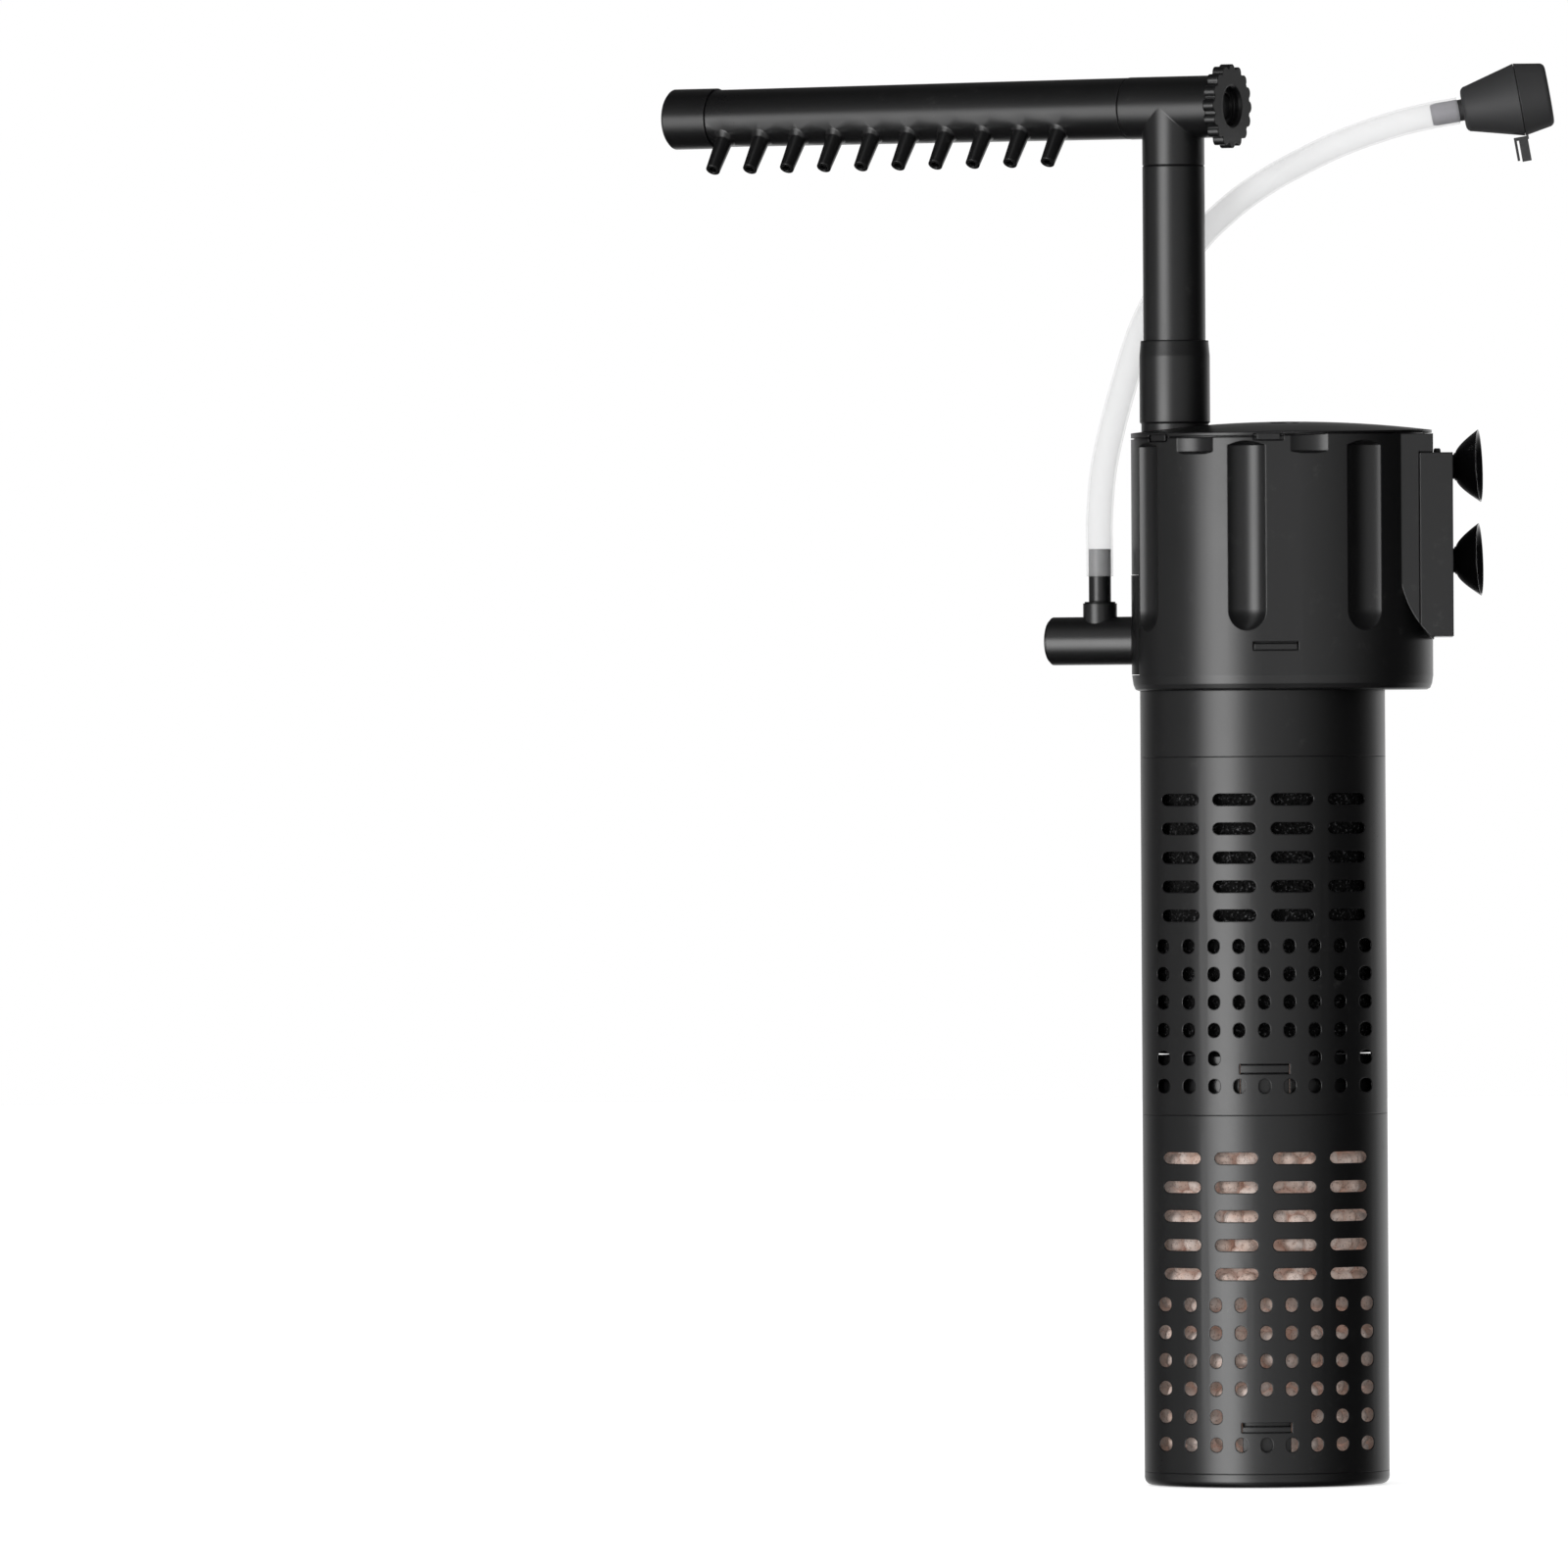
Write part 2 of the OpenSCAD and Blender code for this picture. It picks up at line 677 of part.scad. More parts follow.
// Side view of the block behind the head that carries the bracket's rail.
module block_outline() {
    square_x = block_x;
    difference() {
        translate([square_x - 12, 0]) square([rail_x - square_x + 12, block_top]);
        translate([0, -over]) square([rail_x + over, block_turn_z + over]);
    }
    intersection() {
        translate([square_x + block_turn_r, block_turn_z]) circle(r = block_turn_r);
        translate([0, head_z + 4]) square([rail_x, block_turn_z - head_z - 4 + 0.01]);
    }
}

module rear_block() {
    difference() {
        translate([0, bracket_w / 2, 0]) rotate([90, 0, 0]) linear_extrude(bracket_w) block_outline();
        head_prism(head_ri, head_z + lip_t, crest_z + 20);
    }
}

// The T-shaped rail is what these two channels leave standing.
module rail_channels() {
    flange_x = rail_x - flange_d - rail_gap;
    side_y = bracket_w / 2 - flange_t - rail_gap;
    for (side = [-1, 1]) {
        translate([flange_x, side > 0 ? side_y : -side_y - 20, head_z - over])
            cube([20, 20, rail_stop_z - head_z + over + rail_gap]);
        translate([flange_x, side > 0 ? side_y - lip_w - rail_gap : -side_y - over, head_z - over])
            cube([lip_d + 2 * rail_gap, lip_w + rail_gap + over, rail_stop_z - head_z + over + rail_gap]);
    }
}

// The wedge through the wall in which the outlet swings.
module outlet_window() {
    far = 30;
    translate([pivot_x, 0, drum_z - drum_gap]) linear_extrude(drum_h + 2 * drum_gap) polygon([
        [0, 0], [-far * cos(window_front), -far * sin(window_front)], [-far * 1.4, -far * 0.5],
        [-far * 1.4, far * 0.5], [-far * cos(window_back), far * sin(window_back)]
    ]);
}

// Children on the lid's seam at both long sides, with +Y pointing out of the head.
module at_rim(x) {
    cx = min(max(x, 0), head_shift);
    for (side = [-1, 1])
        translate([cx, 0, seam_z]) rotate([0, 0, (side < 0 ? 180 : 0) - side * asin((x - cx) / head_r)])
            translate([0, head_r, 0]) children();
}

// Shallow upright scoops for the fingertips, with a chamfered lower edge.
module rim_recesses() {
    for (recess = recesses)
        let (half = recess[1] / 2)
        let (axis = sqrt(pow(head_r, 2) - pow(half, 2)) + sqrt(pow(recess_r, 2) - pow(half, 2)))
        at_rim(recess[0]) translate([0, axis - head_r, -recess_h]) {
            cylinder(r = recess_r, h = recess_h + over);
            translate([0, 0, -recess_ledge])
                cylinder(r1 = recess_r - 2 * recess_ledge, r2 = recess_r, h = recess_ledge);
        }
}

// The notches in which the lid's clips stand.
module clip_notches(depth) {
    for (x = clip_at) at_rim(x) translate([0, (over - depth) / 2, -clip_rise])
        post(clip_w + 2 * clip_side, depth + over, 2 * clip_rise);
}

// Small tabs that hang from the lid and lock it to the housing.
module lid_clips() {
    for (x = clip_at) at_rim(x) translate([0, -(notch_d + 0.35) / 2, 0.15 - clip_rise])
        post(clip_w, notch_d - 0.25, 2 * clip_rise + 0.15);
}

module pump_housing() {
    color([0.14, 0.14, 0.145]) difference() {
        union() {
            difference() {
                head_sweep([
                    [0, head_z], [head_r - 1.6, head_z], [head_r - 0.8, head_z + 0.4],
                    [head_r - 0.3, head_z + 1.6], [head_r, head_z + 3.6], [head_r, crest_z], [0, crest_z]
                ]);
                head_prism(head_ri, head_z + lip_t, crest_z + over);
            }
            intersection() {
                at_flutes() flute_core(flute_r + flute_wall, crest_z + over);
                head_prism(head_r - 0.5, head_z + lip_t, crest_z);
            }
            rear_block();
        }
        translate([0, 0, head_z - over]) cylinder(r = can_ri, h = lip_t + 2 * over);
        head_tongue_slots(head_z - over, lip_t + 2 * over);
        for (side = [-1, 1]) translate([head_latch_x, side * head_r, head_z + head_window_z])
            post(head_window_w, 3 * head_wall, head_window_h);
        at_flutes() flute();
        rail_channels();
        outlet_window();
        translate([pivot_x, 0, drum_z - drum_gap]) cylinder(r = pocket_r, h = drum_h + 2 * drum_gap);
        rim_recesses();
        clip_notches(notch_d + 0.2);
        above_seam(0);
    }
}

// Closes the head's underside. The rotor draws water through its eye.
module intake_plate() {
    color([0.2, 0.2, 0.21]) difference() {
        union() {
            head_prism(head_ri - 0.15, deck_z, pump_z);
            translate([rotor_x, 0, deck_z - 1.6]) cylinder(r = bush_r + 1.4, h = deck_t + 1.6);
        }
        difference() {
            translate([rotor_x, 0, deck_z - over]) cylinder(r = eye_r, h = deck_t + 2 * over);
            translate([rotor_x, 0, deck_z - 2]) cylinder(r = bush_r + 1.4, h = deck_t + 4);
            for (i = [0:2]) translate([rotor_x, 0, deck_z - 2]) rotate([0, 0, 120 * i])
                translate([0, -0.8, 0]) cube([eye_r + 1, 1.6, deck_t + 4]);
        }
        translate([rotor_x, 0, deck_z]) cylinder(r = bush_r, h = deck_t + over);
        head_tongue_slots(deck_z - over, deck_t + 2 * over);
    }
}

// The ring wall round the impeller, with a short duct to the swivel drum.
module pump_chamber() {
    color([0.2, 0.2, 0.21]) difference() {
        union() {
            translate([rotor_x, 0, pump_z]) cylinder(r = chamber_r + chamber_wall, h = chamber_h);
            translate([pivot_x + pocket_r, -link_w / 2 - chamber_wall, pump_z])
                cube([rotor_x - pivot_x - pocket_r, link_w + 2 * chamber_wall, link_h + 2 * chamber_wall]);
        }
        translate([rotor_x, 0, pump_z - over]) cylinder(r = chamber_r, h = chamber_h + 2 * over);
        translate([pivot_x, -link_w / 2, pump_z + chamber_wall]) cube([rotor_x - pivot_x, link_w, link_h]);
        translate([pivot_x, 0, pump_z - over])
            cylinder(r = pocket_r + chamber_wall + 0.05, h = chamber_h + 2 * over);
    }
}

// The drum's chamber, with the duct that feeds the riser.
module outlet_chamber() {
    roof_z = pocket_top;
    color([0.2, 0.2, 0.21]) difference() {
        union() {
            intersection() {
                translate([pivot_x, 0, pump_z])
                    cylinder(r = pocket_r + chamber_wall, h = roof_z - pump_z + chamber_wall);
                head_prism(head_ri - 0.15, pump_z, crest_z);
            }
            translate([riser_x, 0, roof_z]) cylinder(r = duct_ro, h = duct_top - roof_z);
        }
        translate([pivot_x, 0, pump_z - over]) cylinder(r = pocket_r, h = roof_z - pump_z + over);
        translate([riser_x, 0, pump_z]) cylinder(r = duct_ri, h = crest_z - pump_z);
        translate([pivot_x, -link_w / 2, pump_z + chamber_wall]) cube([30, link_w, link_h]);
        at_flutes() flute_core(flute_r + flute_wall + 0.05, crest_z);
    }
}

// The lid's top surface, lowered by a wall's thickness. It is rounder from front to back.
module dome(wall) {
    half = head_r + 2;
    steps = 12;
    arc = [for (i = [0:steps]) let (y = half * (2 * i / steps - 1))
        [dome_r - dome_side_r + sqrt(pow(dome_side_r - wall, 2) - pow(y, 2)), y]];
    translate([crest_x, 0, crest_z - dome_r]) rotate([90, 0, 0])
        rotate_extrude($fn = 240) polygon(concat([[0, -half]], arc, [[0, half]]));
}

// The step round the lid's lower edge, which leaves a shadow gap.
module lid_step() {
    difference() {
        head_prism(head_r + over, seam_z - over, crest_z);
        head_prism(head_r - lid_gap_d, seam_z - 2 * over, crest_z + over);
        above_seam(lid_gap);
    }
}

module top_lid() {
    color([0.14, 0.14, 0.145]) {
        difference() {
            intersection() {
                head_prism(head_r, seam_z - over, crest_z + over);
                dome(0);
                above_seam(0);
            }
            intersection() {
                head_prism(head_ri, seam_z - over, crest_z + over);
                dome(lid_wall);
            }
            translate([riser_x, 0, seam_z - over]) cylinder(r = socket_d / 2 - 0.4 + 0.1, h = 20);
            translate([cord_x, cord_y, seam_z - over]) cylinder(r = gland_r + 0.03, h = 20);
            rear_block();
            lid_step();
            clip_notches(notch_d);
        }
        lid_clips();
    }
}

// The bush through which the mains cord enters the motor.
module cord_gland() {
    rim = crest_z - gland_drop;
    flange = rim - lid_wall - 0.05;
    color([0.1, 0.1, 0.1]) translate([cord_x, cord_y, 0]) {
        translate([0, 0, crest_z - gland_h]) tube(gland_r + 1.6, cord_r, flange - crest_z + gland_h);
        translate([0, 0, flange - 0.5]) tube(gland_r, cord_r, rim - flange + 0.5);
    }
}

module riser_socket() {
    top = crest_z + socket_h;
    r = socket_d / 2;
    color([0.14, 0.14, 0.145]) translate([riser_x, 0, 0]) rotate_extrude() polygon([
        [duct_ro + 0.1, duct_top - 4], [r - 0.4, duct_top - 4], [r - 0.4, crest_z - 0.4], [r, crest_z],
        [r, top - socket_taper], [socket_bore_r + 0.6, top], [socket_bore_r, top - 0.6],
        [socket_bore_r, socket_seat_z], [duct_ri, socket_seat_z], [duct_ri, duct_top + 0.1],
        [duct_ro + 0.1, duct_top + 0.1]
    ]);
}

// ---- motor ----

// The case steps up over the drum. In is the wall's thickness, or 0 for the outside.
module case_block(in) {
    top = case_z + case_h - in;
    wide = case_w - 2 * in;
    for (p = [[case_x[1], case_z], [case_x[0], case_step_z]])
        translate([p[0] + in, -wide / 2, p[1] + in]) cube([case_x[2] - p[0] - 2 * in, wide, top - p[1] - in]);
}

module motor_case() {
    color([0.2, 0.2, 0.21]) difference() {
        case_block(0);
        case_block(case_wall);
        translate([rotor_x, 0, case_z - over])
            cylinder(r = well_ri + well_wall + 0.1, h = case_wall + 2 * over);
        translate([cord_x, cord_y, case_z + case_h - case_wall - over])
            cylinder(r = cord_r, h = case_wall + 2 * over);
    }
}

// A U-shaped stack of laminations whose poles close round the rotor well.
module stator_core() {
    web = [case_x[0] + case_wall + 0.6, case_x[1] - 1.2];
    end = rotor_x + pole_l;
    color([0.45, 0.46, 0.48]) translate([0, 0, stack_z]) linear_extrude(stack_t) difference() {
        translate([web[0], -leg_out]) square([end - web[0], 2 * leg_out]);
        translate([web[1], -leg_in]) square([end - web[1] + over, 2 * leg_in]);
        translate([rotor_x, 0]) circle(r = well_ri + well_wall + 0.2);
    }
}

module stator_coils() {
    x0 = case_x[1] + case_wall + 0.3;
    x1 = rotor_x - well_ri - well_wall - 0.6;
    leg_w = leg_out - leg_in;
    color([0.72, 0.38, 0.2]) for (side = [-1, 1])
        translate([(x0 + x1) / 2, side * (leg_in + leg_out) / 2, stack_z]) difference() {
            translate([0, 0, -coil_t]) post(x1 - x0, leg_w + 2 * coil_t, stack_t + 2 * coil_t);
            translate([0, 0, -coil_gap]) post(x1 - x0 + over, leg_w + 2 * coil_gap, stack_t + 2 * coil_gap);
        }
}

module rotor_well() {
    color([0.2, 0.2, 0.21]) translate([rotor_x, 0, 0]) rotate_extrude() polygon([
        [well_ri, well_z], [chamber_r + chamber_wall, well_z], [chamber_r + chamber_wall, case_z],
        [well_ri + well_wall, case_z], [well_ri + well_wall, case_z + well_h],
        [0, case_z + well_h], [0, case_z + well_h - well_wall], [bush_r, case_z + well_h - well_wall],
        [bush_r, case_z + well_h - well_wall - 3], [bush_r + 1, case_z + well_h - well_wall - 3],
        [bush_r + 1, case_z + well_h - well_wall], [well_ri, case_z + well_h - well_wall]
    ]);
}

module rotor_shaft() {
    z0 = deck_z + 0.2;
    z1 = case_z + well_h - well_wall - 0.2;
    color([0.93, 0.92, 0.88]) translate([rotor_x, 0, z0]) cylinder(r = shaft_r, h = z1 - z0);
}

module bush(h) {
    color([0.16, 0.16, 0.16]) tube(bush_r - 0.02, shaft_r + 0.02, h);
}

module lower_bush() {
    translate([rotor_x, 0, deck_z + 0.02]) bush(deck_t + 0.6);
}

module upper_bush() {
    translate([rotor_x, 0, case_z + well_h - well_wall - 2.8]) bush(2.78);
}

// Straight blades, because the motor may start either way round.
module impeller() {
    color([0.86, 0.86, 0.84]) translate([rotor_x, 0, 0]) difference() {
        union() {
            translate([0, 0, impeller_z]) cylinder(r = hub_r, h = magnet_z - impeller_z);
            translate([0, 0, impeller_z + impeller_h - 1.2]) cylinder(r = impeller_r, h = 1.2);
            for (i = [0:blades - 1]) rotate([0, 0, i * 360 / blades])
                translate([0, -blade_t / 2, impeller_z]) cube([impeller_r - 0.3, blade_t, impeller_h - 1]);
        }
        translate([0, 0, impeller_z - over])
            cylinder(r = shaft_r + spin_gap, h = magnet_z - impeller_z + 2 * over);
    }
}

module rotor_magnet() {
    color([0.25, 0.25, 0.27])
        translate([rotor_x, 0, magnet_z]) tube(magnet_d / 2, shaft_r + spin_gap, magnet_l);
}

// ---- swivel outlet ----

// Children in the outlet's own frame, with +X from the pivot to the mouth.
module outlet_frame() {
    translate([pivot_x, 0, head_z + outlet_z]) rotate([0, 0, 180 - outlet_angle]) children();
}

module outlet_nozzle() {
    floor_z = drum_z - head_z - outlet_z;
    color([0.13, 0.13, 0.135]) difference() {
        union() {
            translate([pivot_x, 0, drum_z]) cylinder(r = drum_r, h = drum_h);
            outlet_frame() {
                rotate([0, 90, 0]) cylinder(d = outlet_d, h = outlet_l - 0.6);
                rotate([0, 90, 0]) cylinder(d = outlet_d - 1.2, h = outlet_l);
                translate([nipple_l, 0, 0]) cylinder(d = nipple_collar_d, h = nipple_collar_h - 0.4);
                translate([nipple_l, 0, 0]) cylinder(d = nipple_collar_d - 0.8, h = nipple_collar_h);
                translate([nipple_l, 0, 0]) cylinder(d = nipple_d, h = nipple_h);
            }
        }
        translate([pivot_x, 0, drum_z + drum_wall]) cylinder(r = drum_r - drum_wall, h = drum_h);
        outlet_frame() {
            rotate([0, 90, 0]) cylinder(d = outlet_bore, h = outlet_l + over);
            translate([nipple_l, 0, 0]) cylinder(d = air_bore, h = nipple_h + over);
            translate([-drum_r - over, -drum_r * 0.8, floor_z + drum_wall + drum_sill])
                cube([drum_r * 0.5 + over, drum_r * 1.6, drum_h - 2 * drum_wall - drum_sill]);
        }
    }
}

// ---- suction bracket ----

// Side view of the corner that the block's curve takes off the bracket's sides.
module turned_corner() {
    difference() {
        translate([block_x, head_z]) square([rail_x + rail_gap - block_x, block_turn_z - head_z]);
        translate([block_x + block_turn_r, block_turn_z]) circle(r = block_turn_r);
    }
}

module suction_bracket() {
    z = head_z + bracket_z;
    inner = rail_x + rail_gap;
    color([0.14, 0.14, 0.145]) difference() {
        union() {
            translate([inner, -bracket_w / 2, z]) cube([plate_t, bracket_w, bracket_h]);
            for (side = [-1, 1]) {
                translate([rail_x - flange_d, side > 0 ? bracket_w / 2 - flange_t : -bracket_w / 2, z])
                    cube([flange_d + rail_gap + over, flange_t, bracket_h]);
                translate([rail_x - flange_d, side > 0 ? bracket_w / 2 - flange_t - lip_w : -bracket_w / 2, z])
                    cube([lip_d, flange_t + lip_w, bracket_h]);
            }
        }
        translate([0, bracket_w / 2 + over, 0]) rotate([90, 0, 0]) linear_extrude(bracket_w + 2 * over)
            turned_corner();
        for (i = [0, 1]) translate([inner - over, 0, z + cup_z + i * cup_pitch]) rotate([0, 90, 0]) {
            cylinder(d = stem_d + 0.1, h = plate_t + 2 * over);
            cylinder(r = stem_head_r + 0.1, h = stem_head_t + over + 0.2);
        }
    }
}

// A rounded bell with a thin lip.
module cup_bell() {
    steps = 10;
    root = stem_d / 2 + 0.4;
    rim = cup_d / 2;
    outer = [for (i = [0:steps]) let (u = i / steps)
        [root + (rim - root) * pow(u, 0.7), stem_show + cup_depth * u]];
    inner = [for (i = [steps:-1:0]) let (u = i / steps)
        [(rim - cup_wall * (1 - 0.65 * u)) * pow(u, 0.55),
         stem_show + cup_depth * u + 1.2 * cup_wall * (1 - u)]];
    rotate_extrude() polygon(concat([[0, stem_show - 0.3], [root, stem_show - 0.3]], outer, inner));
}

module suction_cups() {
    z = head_z + bracket_z;
    inner = rail_x + rail_gap;
    face = inner + plate_t;
    color([0.06, 0.06, 0.065]) for (i = [0, 1]) translate([0, 0, z + cup_z + i * cup_pitch]) {
        translate([inner + 0.1, 0, 0]) rotate([0, 90, 0]) cylinder(r = stem_head_r, h = stem_head_t);
        translate([inner + 0.1, 0, 0]) rotate([0, 90, 0]) cylinder(d = stem_d, h = plate_t + stem_show + 0.5);
        translate([face, 0, 0]) rotate([0, 0, -cup_lean]) rotate([0, 90 - cup_tilt, 0]) cup_bell();
    }
}

// ---- riser and spray bar ----

module riser_pipe() {
    spigot = 6;
    color([0.13, 0.13, 0.135]) translate([riser_x, 0, 0]) rotate_extrude() polygon([
        [riser_bore / 2, socket_seat_z], [riser_r - 0.5, socket_seat_z], [riser_r, socket_seat_z + 0.5],
        [riser_r, seal_z - seal_d / 2], [riser_r - seal_d + 0.1, seal_z - seal_d / 2],
        [riser_r - seal_d + 0.1, seal_z + seal_d / 2], [riser_r, seal_z + seal_d / 2],
        [riser_r, joint_z - edge], [riser_r - edge, joint_z], [plug_r - plug_gap, joint_z],
        [plug_r - plug_gap, joint_z + spigot],
        [riser_bore / 2, joint_z + spigot]
    ]);
}

// A sealing ring about the Z axis in a groove whose outside is at r.
module seal_ring(r) {
    color([0.05, 0.05, 0.05]) rotate_extrude() translate([r - seal_d / 2 + 0.05, 0]) circle(d = seal_d - 0.1);
}

module riser_seal() {
    translate([riser_x, 0, seal_z]) seal_ring(riser_r);
}

// Children in the spray bar's own frame: +X along the bar towards the flow dial.
module bar_frame() {
    translate([riser_x, 0, bar_z]) rotate([0, 0, -bar_yaw]) children();
}

// A rod along Z with a small chamfer at each end.
module rod(r, h) {
    rotate_extrude() polygon([[0, 0], [r - edge, 0], [r, edge], [r, h - edge], [r - edge, h], [0, h]]);
}

module tee() {
    color([0.13, 0.13, 0.135]) difference() {
        union() {
            translate([riser_x, 0, joint_z]) cylinder(r1 = riser_r - edge, r2 = riser_r, h = edge);
            translate([riser_x, 0, joint_z + edge]) cylinder(r = riser_r, h = tee_h - edge);
            bar_frame() translate([-arm_l, 0, 0]) rotate([0, 90, 0]) rod(riser_r, arm_l + dial_arm_l);
        }
        translate([riser_x, 0, joint_z - over]) cylinder(r = plug_r, h = tee_h + over);
        bar_frame() translate([-arm_l - over, 0, 0]) rotate([0, 90, 0])
            cylinder(r = plug_r, h = arm_l + dial_arm_l + 2 * over);
    }
}

module spray_bar() {
    tip_l = cap_l - cap_wall_end - 0.2;
    ring_x = arm_l - plug_l / 2;
    jet_foot = bar_tip_d / 2 - 0.8;
    color([0.13, 0.13, 0.135]) bar_frame() difference() {
        union() {
            rotate([0, -90, 0]) rotate_extrude() polygon([
                [0, arm_l - plug_l], [plug_r - plug_gap, arm_l - plug_l],
                [plug_r - plug_gap, ring_x - seal_d / 2], [plug_r - seal_d + 0.1, ring_x - seal_d / 2],
                [plug_r - seal_d + 0.1, ring_x + seal_d / 2], [plug_r - plug_gap, ring_x + seal_d / 2],
                [plug_r - plug_gap, arm_l], [bar_d / 2 - edge, arm_l], [bar_d / 2, arm_l + edge],
                [bar_tip_d / 2, bar_l],
                [cap_plug_r, bar_l], [cap_plug_r, bar_l + tip_l], [0, bar_l + tip_l]
            ]);
            for (i = [0:jets - 1]) translate([-jet_x - i * jet_pitch, 0, 0]) rotate([180 - jet_angle, 0, 0]) {
                translate([0, 0, jet_foot]) cylinder(d1 = jet_root_d, d2 = jet_d, h = jet_l - jet_foot);
                translate([0, 0, jet_foot])
                    cylinder(d1 = jet_root_d + 2 * jet_collar, d2 = jet_root_d - 0.2, h = 1.6);
            }
        }
        translate([-arm_l, 0, 0]) rotate([0, -90, 0]) {
            cylinder(d = bar_bore, h = bar_l + cap_l);
            translate([0, 0, -plug_l - over]) cylinder(r = plug_bore_r, h = plug_l + 2 * over);
        }
        for (i = [0:jets - 1]) translate([-jet_x - i * jet_pitch, 0, 0]) rotate([180 - jet_angle, 0, 0])
            cylinder(d = jet_bore, h = jet_l + over);
    }
}

module bar_seal() {
    bar_frame() translate([-arm_l + plug_l / 2, 0, 0]) rotate([0, 90, 0]) seal_ring(plug_r - 0.05);
}

module bar_end_cap() {
    r = cap_d / 2;
    color([0.13, 0.13, 0.135]) bar_frame() rotate([0, -90, 0]) rotate_extrude() polygon([
        [cap_plug_r + 0.05, bar_l + 0.05], [r, bar_l + 0.05], [r, bar_l + cap_l - 0.6],
        [r - 0.6, bar_l + cap_l], [0, bar_l + cap_l], [0, bar_l + cap_l - cap_wall_end],
        [cap_plug_r + 0.05, bar_l + cap_l - cap_wall_end]
    ]);
}

// Toothed dial. Its half-round vane turns in the tee and throttles the bar.
module flow_dial() {
    root = dial_d / 2 - 1.05;
    inner_end = dial_plug_x - plug_l / 2;
    vane_x = plug_l - arm_l + seat;
    color([0.13, 0.13, 0.135]) bar_frame() {
        translate([dial_back, 0, 0]) rotate([90, 0, 90]) difference() {
            linear_extrude(dial_t) {
                circle(r = root);
                for (i = [0:dial_teeth - 1]) rotate(i * 360 / dial_teeth)
                    translate([dial_d / 2 - tooth_r, 0]) circle(r = tooth_r);
            }
            translate([0, 0, 1]) cylinder(d = dial_recess_d, h = dial_t);
            translate([0, 0, -over]) cylinder(d = dial_recess_d - 3, h = dial_t);
            translate([0, 0, dial_t - 0.6])
                cylinder(d1 = dial_recess_d - 0.1, d2 = dial_recess_d + 1.3, h = 0.7);
        }
        rotate([0, 90, 0]) rotate_extrude() polygon([
            [0, inner_end], [plug_r - plug_gap, inner_end],
            [plug_r - plug_gap, dial_plug_x - seal_d / 2], [plug_r - seal_d + 0.1, dial_plug_x - seal_d / 2],
            [plug_r - seal_d + 0.1, dial_plug_x + seal_d / 2], [plug_r - plug_gap, dial_plug_x + seal_d / 2],
            [plug_r - plug_gap, dial_back + 0.4], [0, dial_back + 0.4]
        ]);
        intersection() {
            translate([vane_x, 0, 0]) rotate([0, 90, 0])
                tube(plug_r - 2 * plug_gap, plug_r - 1.6, inner_end - vane_x + 0.5);
            translate([vane_x - over, -10, 0]) cube([inner_end - vane_x + 2 * over, 20, 10]);
        }
    }
}

module dial_seal() {
    bar_frame() translate([dial_plug_x, 0, 0]) rotate([0, 90, 0]) seal_ring(plug_r - 0.05);
}

// ---- air tube and valve ----

function tube_y(share) = nipple_y + share * (tube_back - nipple_y);
function unit(v) = v / norm(v);
function ring_points(p, t) =
    let (side = unit(cross(t, [0, 1, 0])), back = cross(side, t))
    [for (i = [0:tube_sides - 1]) let (a = 360 * i / tube_sides)
        p + tube_d / 2 * (cos(a) * side + sin(a) * back)];

// The tube runs from the nipple's tip, behind the riser, to the air valve.
module air_tube() {
    axis_end = [cos(valve_tilt), 0, sin(valve_tilt)];
    path = concat(
        [[nipple_x, nipple_y, nipple_top]],
        [for (p = tube_route) [nipple_x + p[0], tube_y(p[2]), nipple_top + p[1]]],
        [tube_end]
    );
    last = len(path) - 1;
    tangents = [for (i = [0:last])
        i == 0 ? [0, 0, 1] : i == last ? axis_end : unit(path[i + 1] - path[i - 1])];
    rings = [for (i = [0:last]) ring_points(path[i], tangents[i])];
    points = [for (r = rings) each r];
    n = tube_sides;
    walls = [for (i = [0:last - 1], j = [0:n - 1]) let (k = (j + 1) % n)
        each [[i * n + j, (i + 1) * n + j, (i + 1) * n + k], [i * n + j, (i + 1) * n + k, i * n + k]]];
    start = [for (j = [1:n - 2]) [0, j, j + 1]];
    end = [for (j = [1:n - 2]) [last * n, last * n + j + 1, last * n + j]];
    color([0.9, 0.9, 0.92]) polyhedron(points, concat(walls, start, end));
}

// Children in the valve's own frame: +Z along its axis, away from the tube.
module valve_frame() {
    translate(tube_end) rotate([0, 90 - valve_tilt, 0]) children();
}

module air_valve() {
    r1 = valve_d1 / 2;
    l = valve_neck_l + valve_cone_l;
    steps = 4;
    color([0.19, 0.19, 0.2]) valve_frame() rotate_extrude() polygon(concat(
        [[0, 0], [valve_neck_r, 0], [valve_neck_r, valve_neck_l]],
        [for (i = [0:steps]) let (a = 90 * i / steps)
            [r1 - valve_round * (1 - sin(a)), valve_neck_l + valve_round * (1 - cos(a))]],
        [[valve_d2 / 2, l], [0, l]]
    ));
}

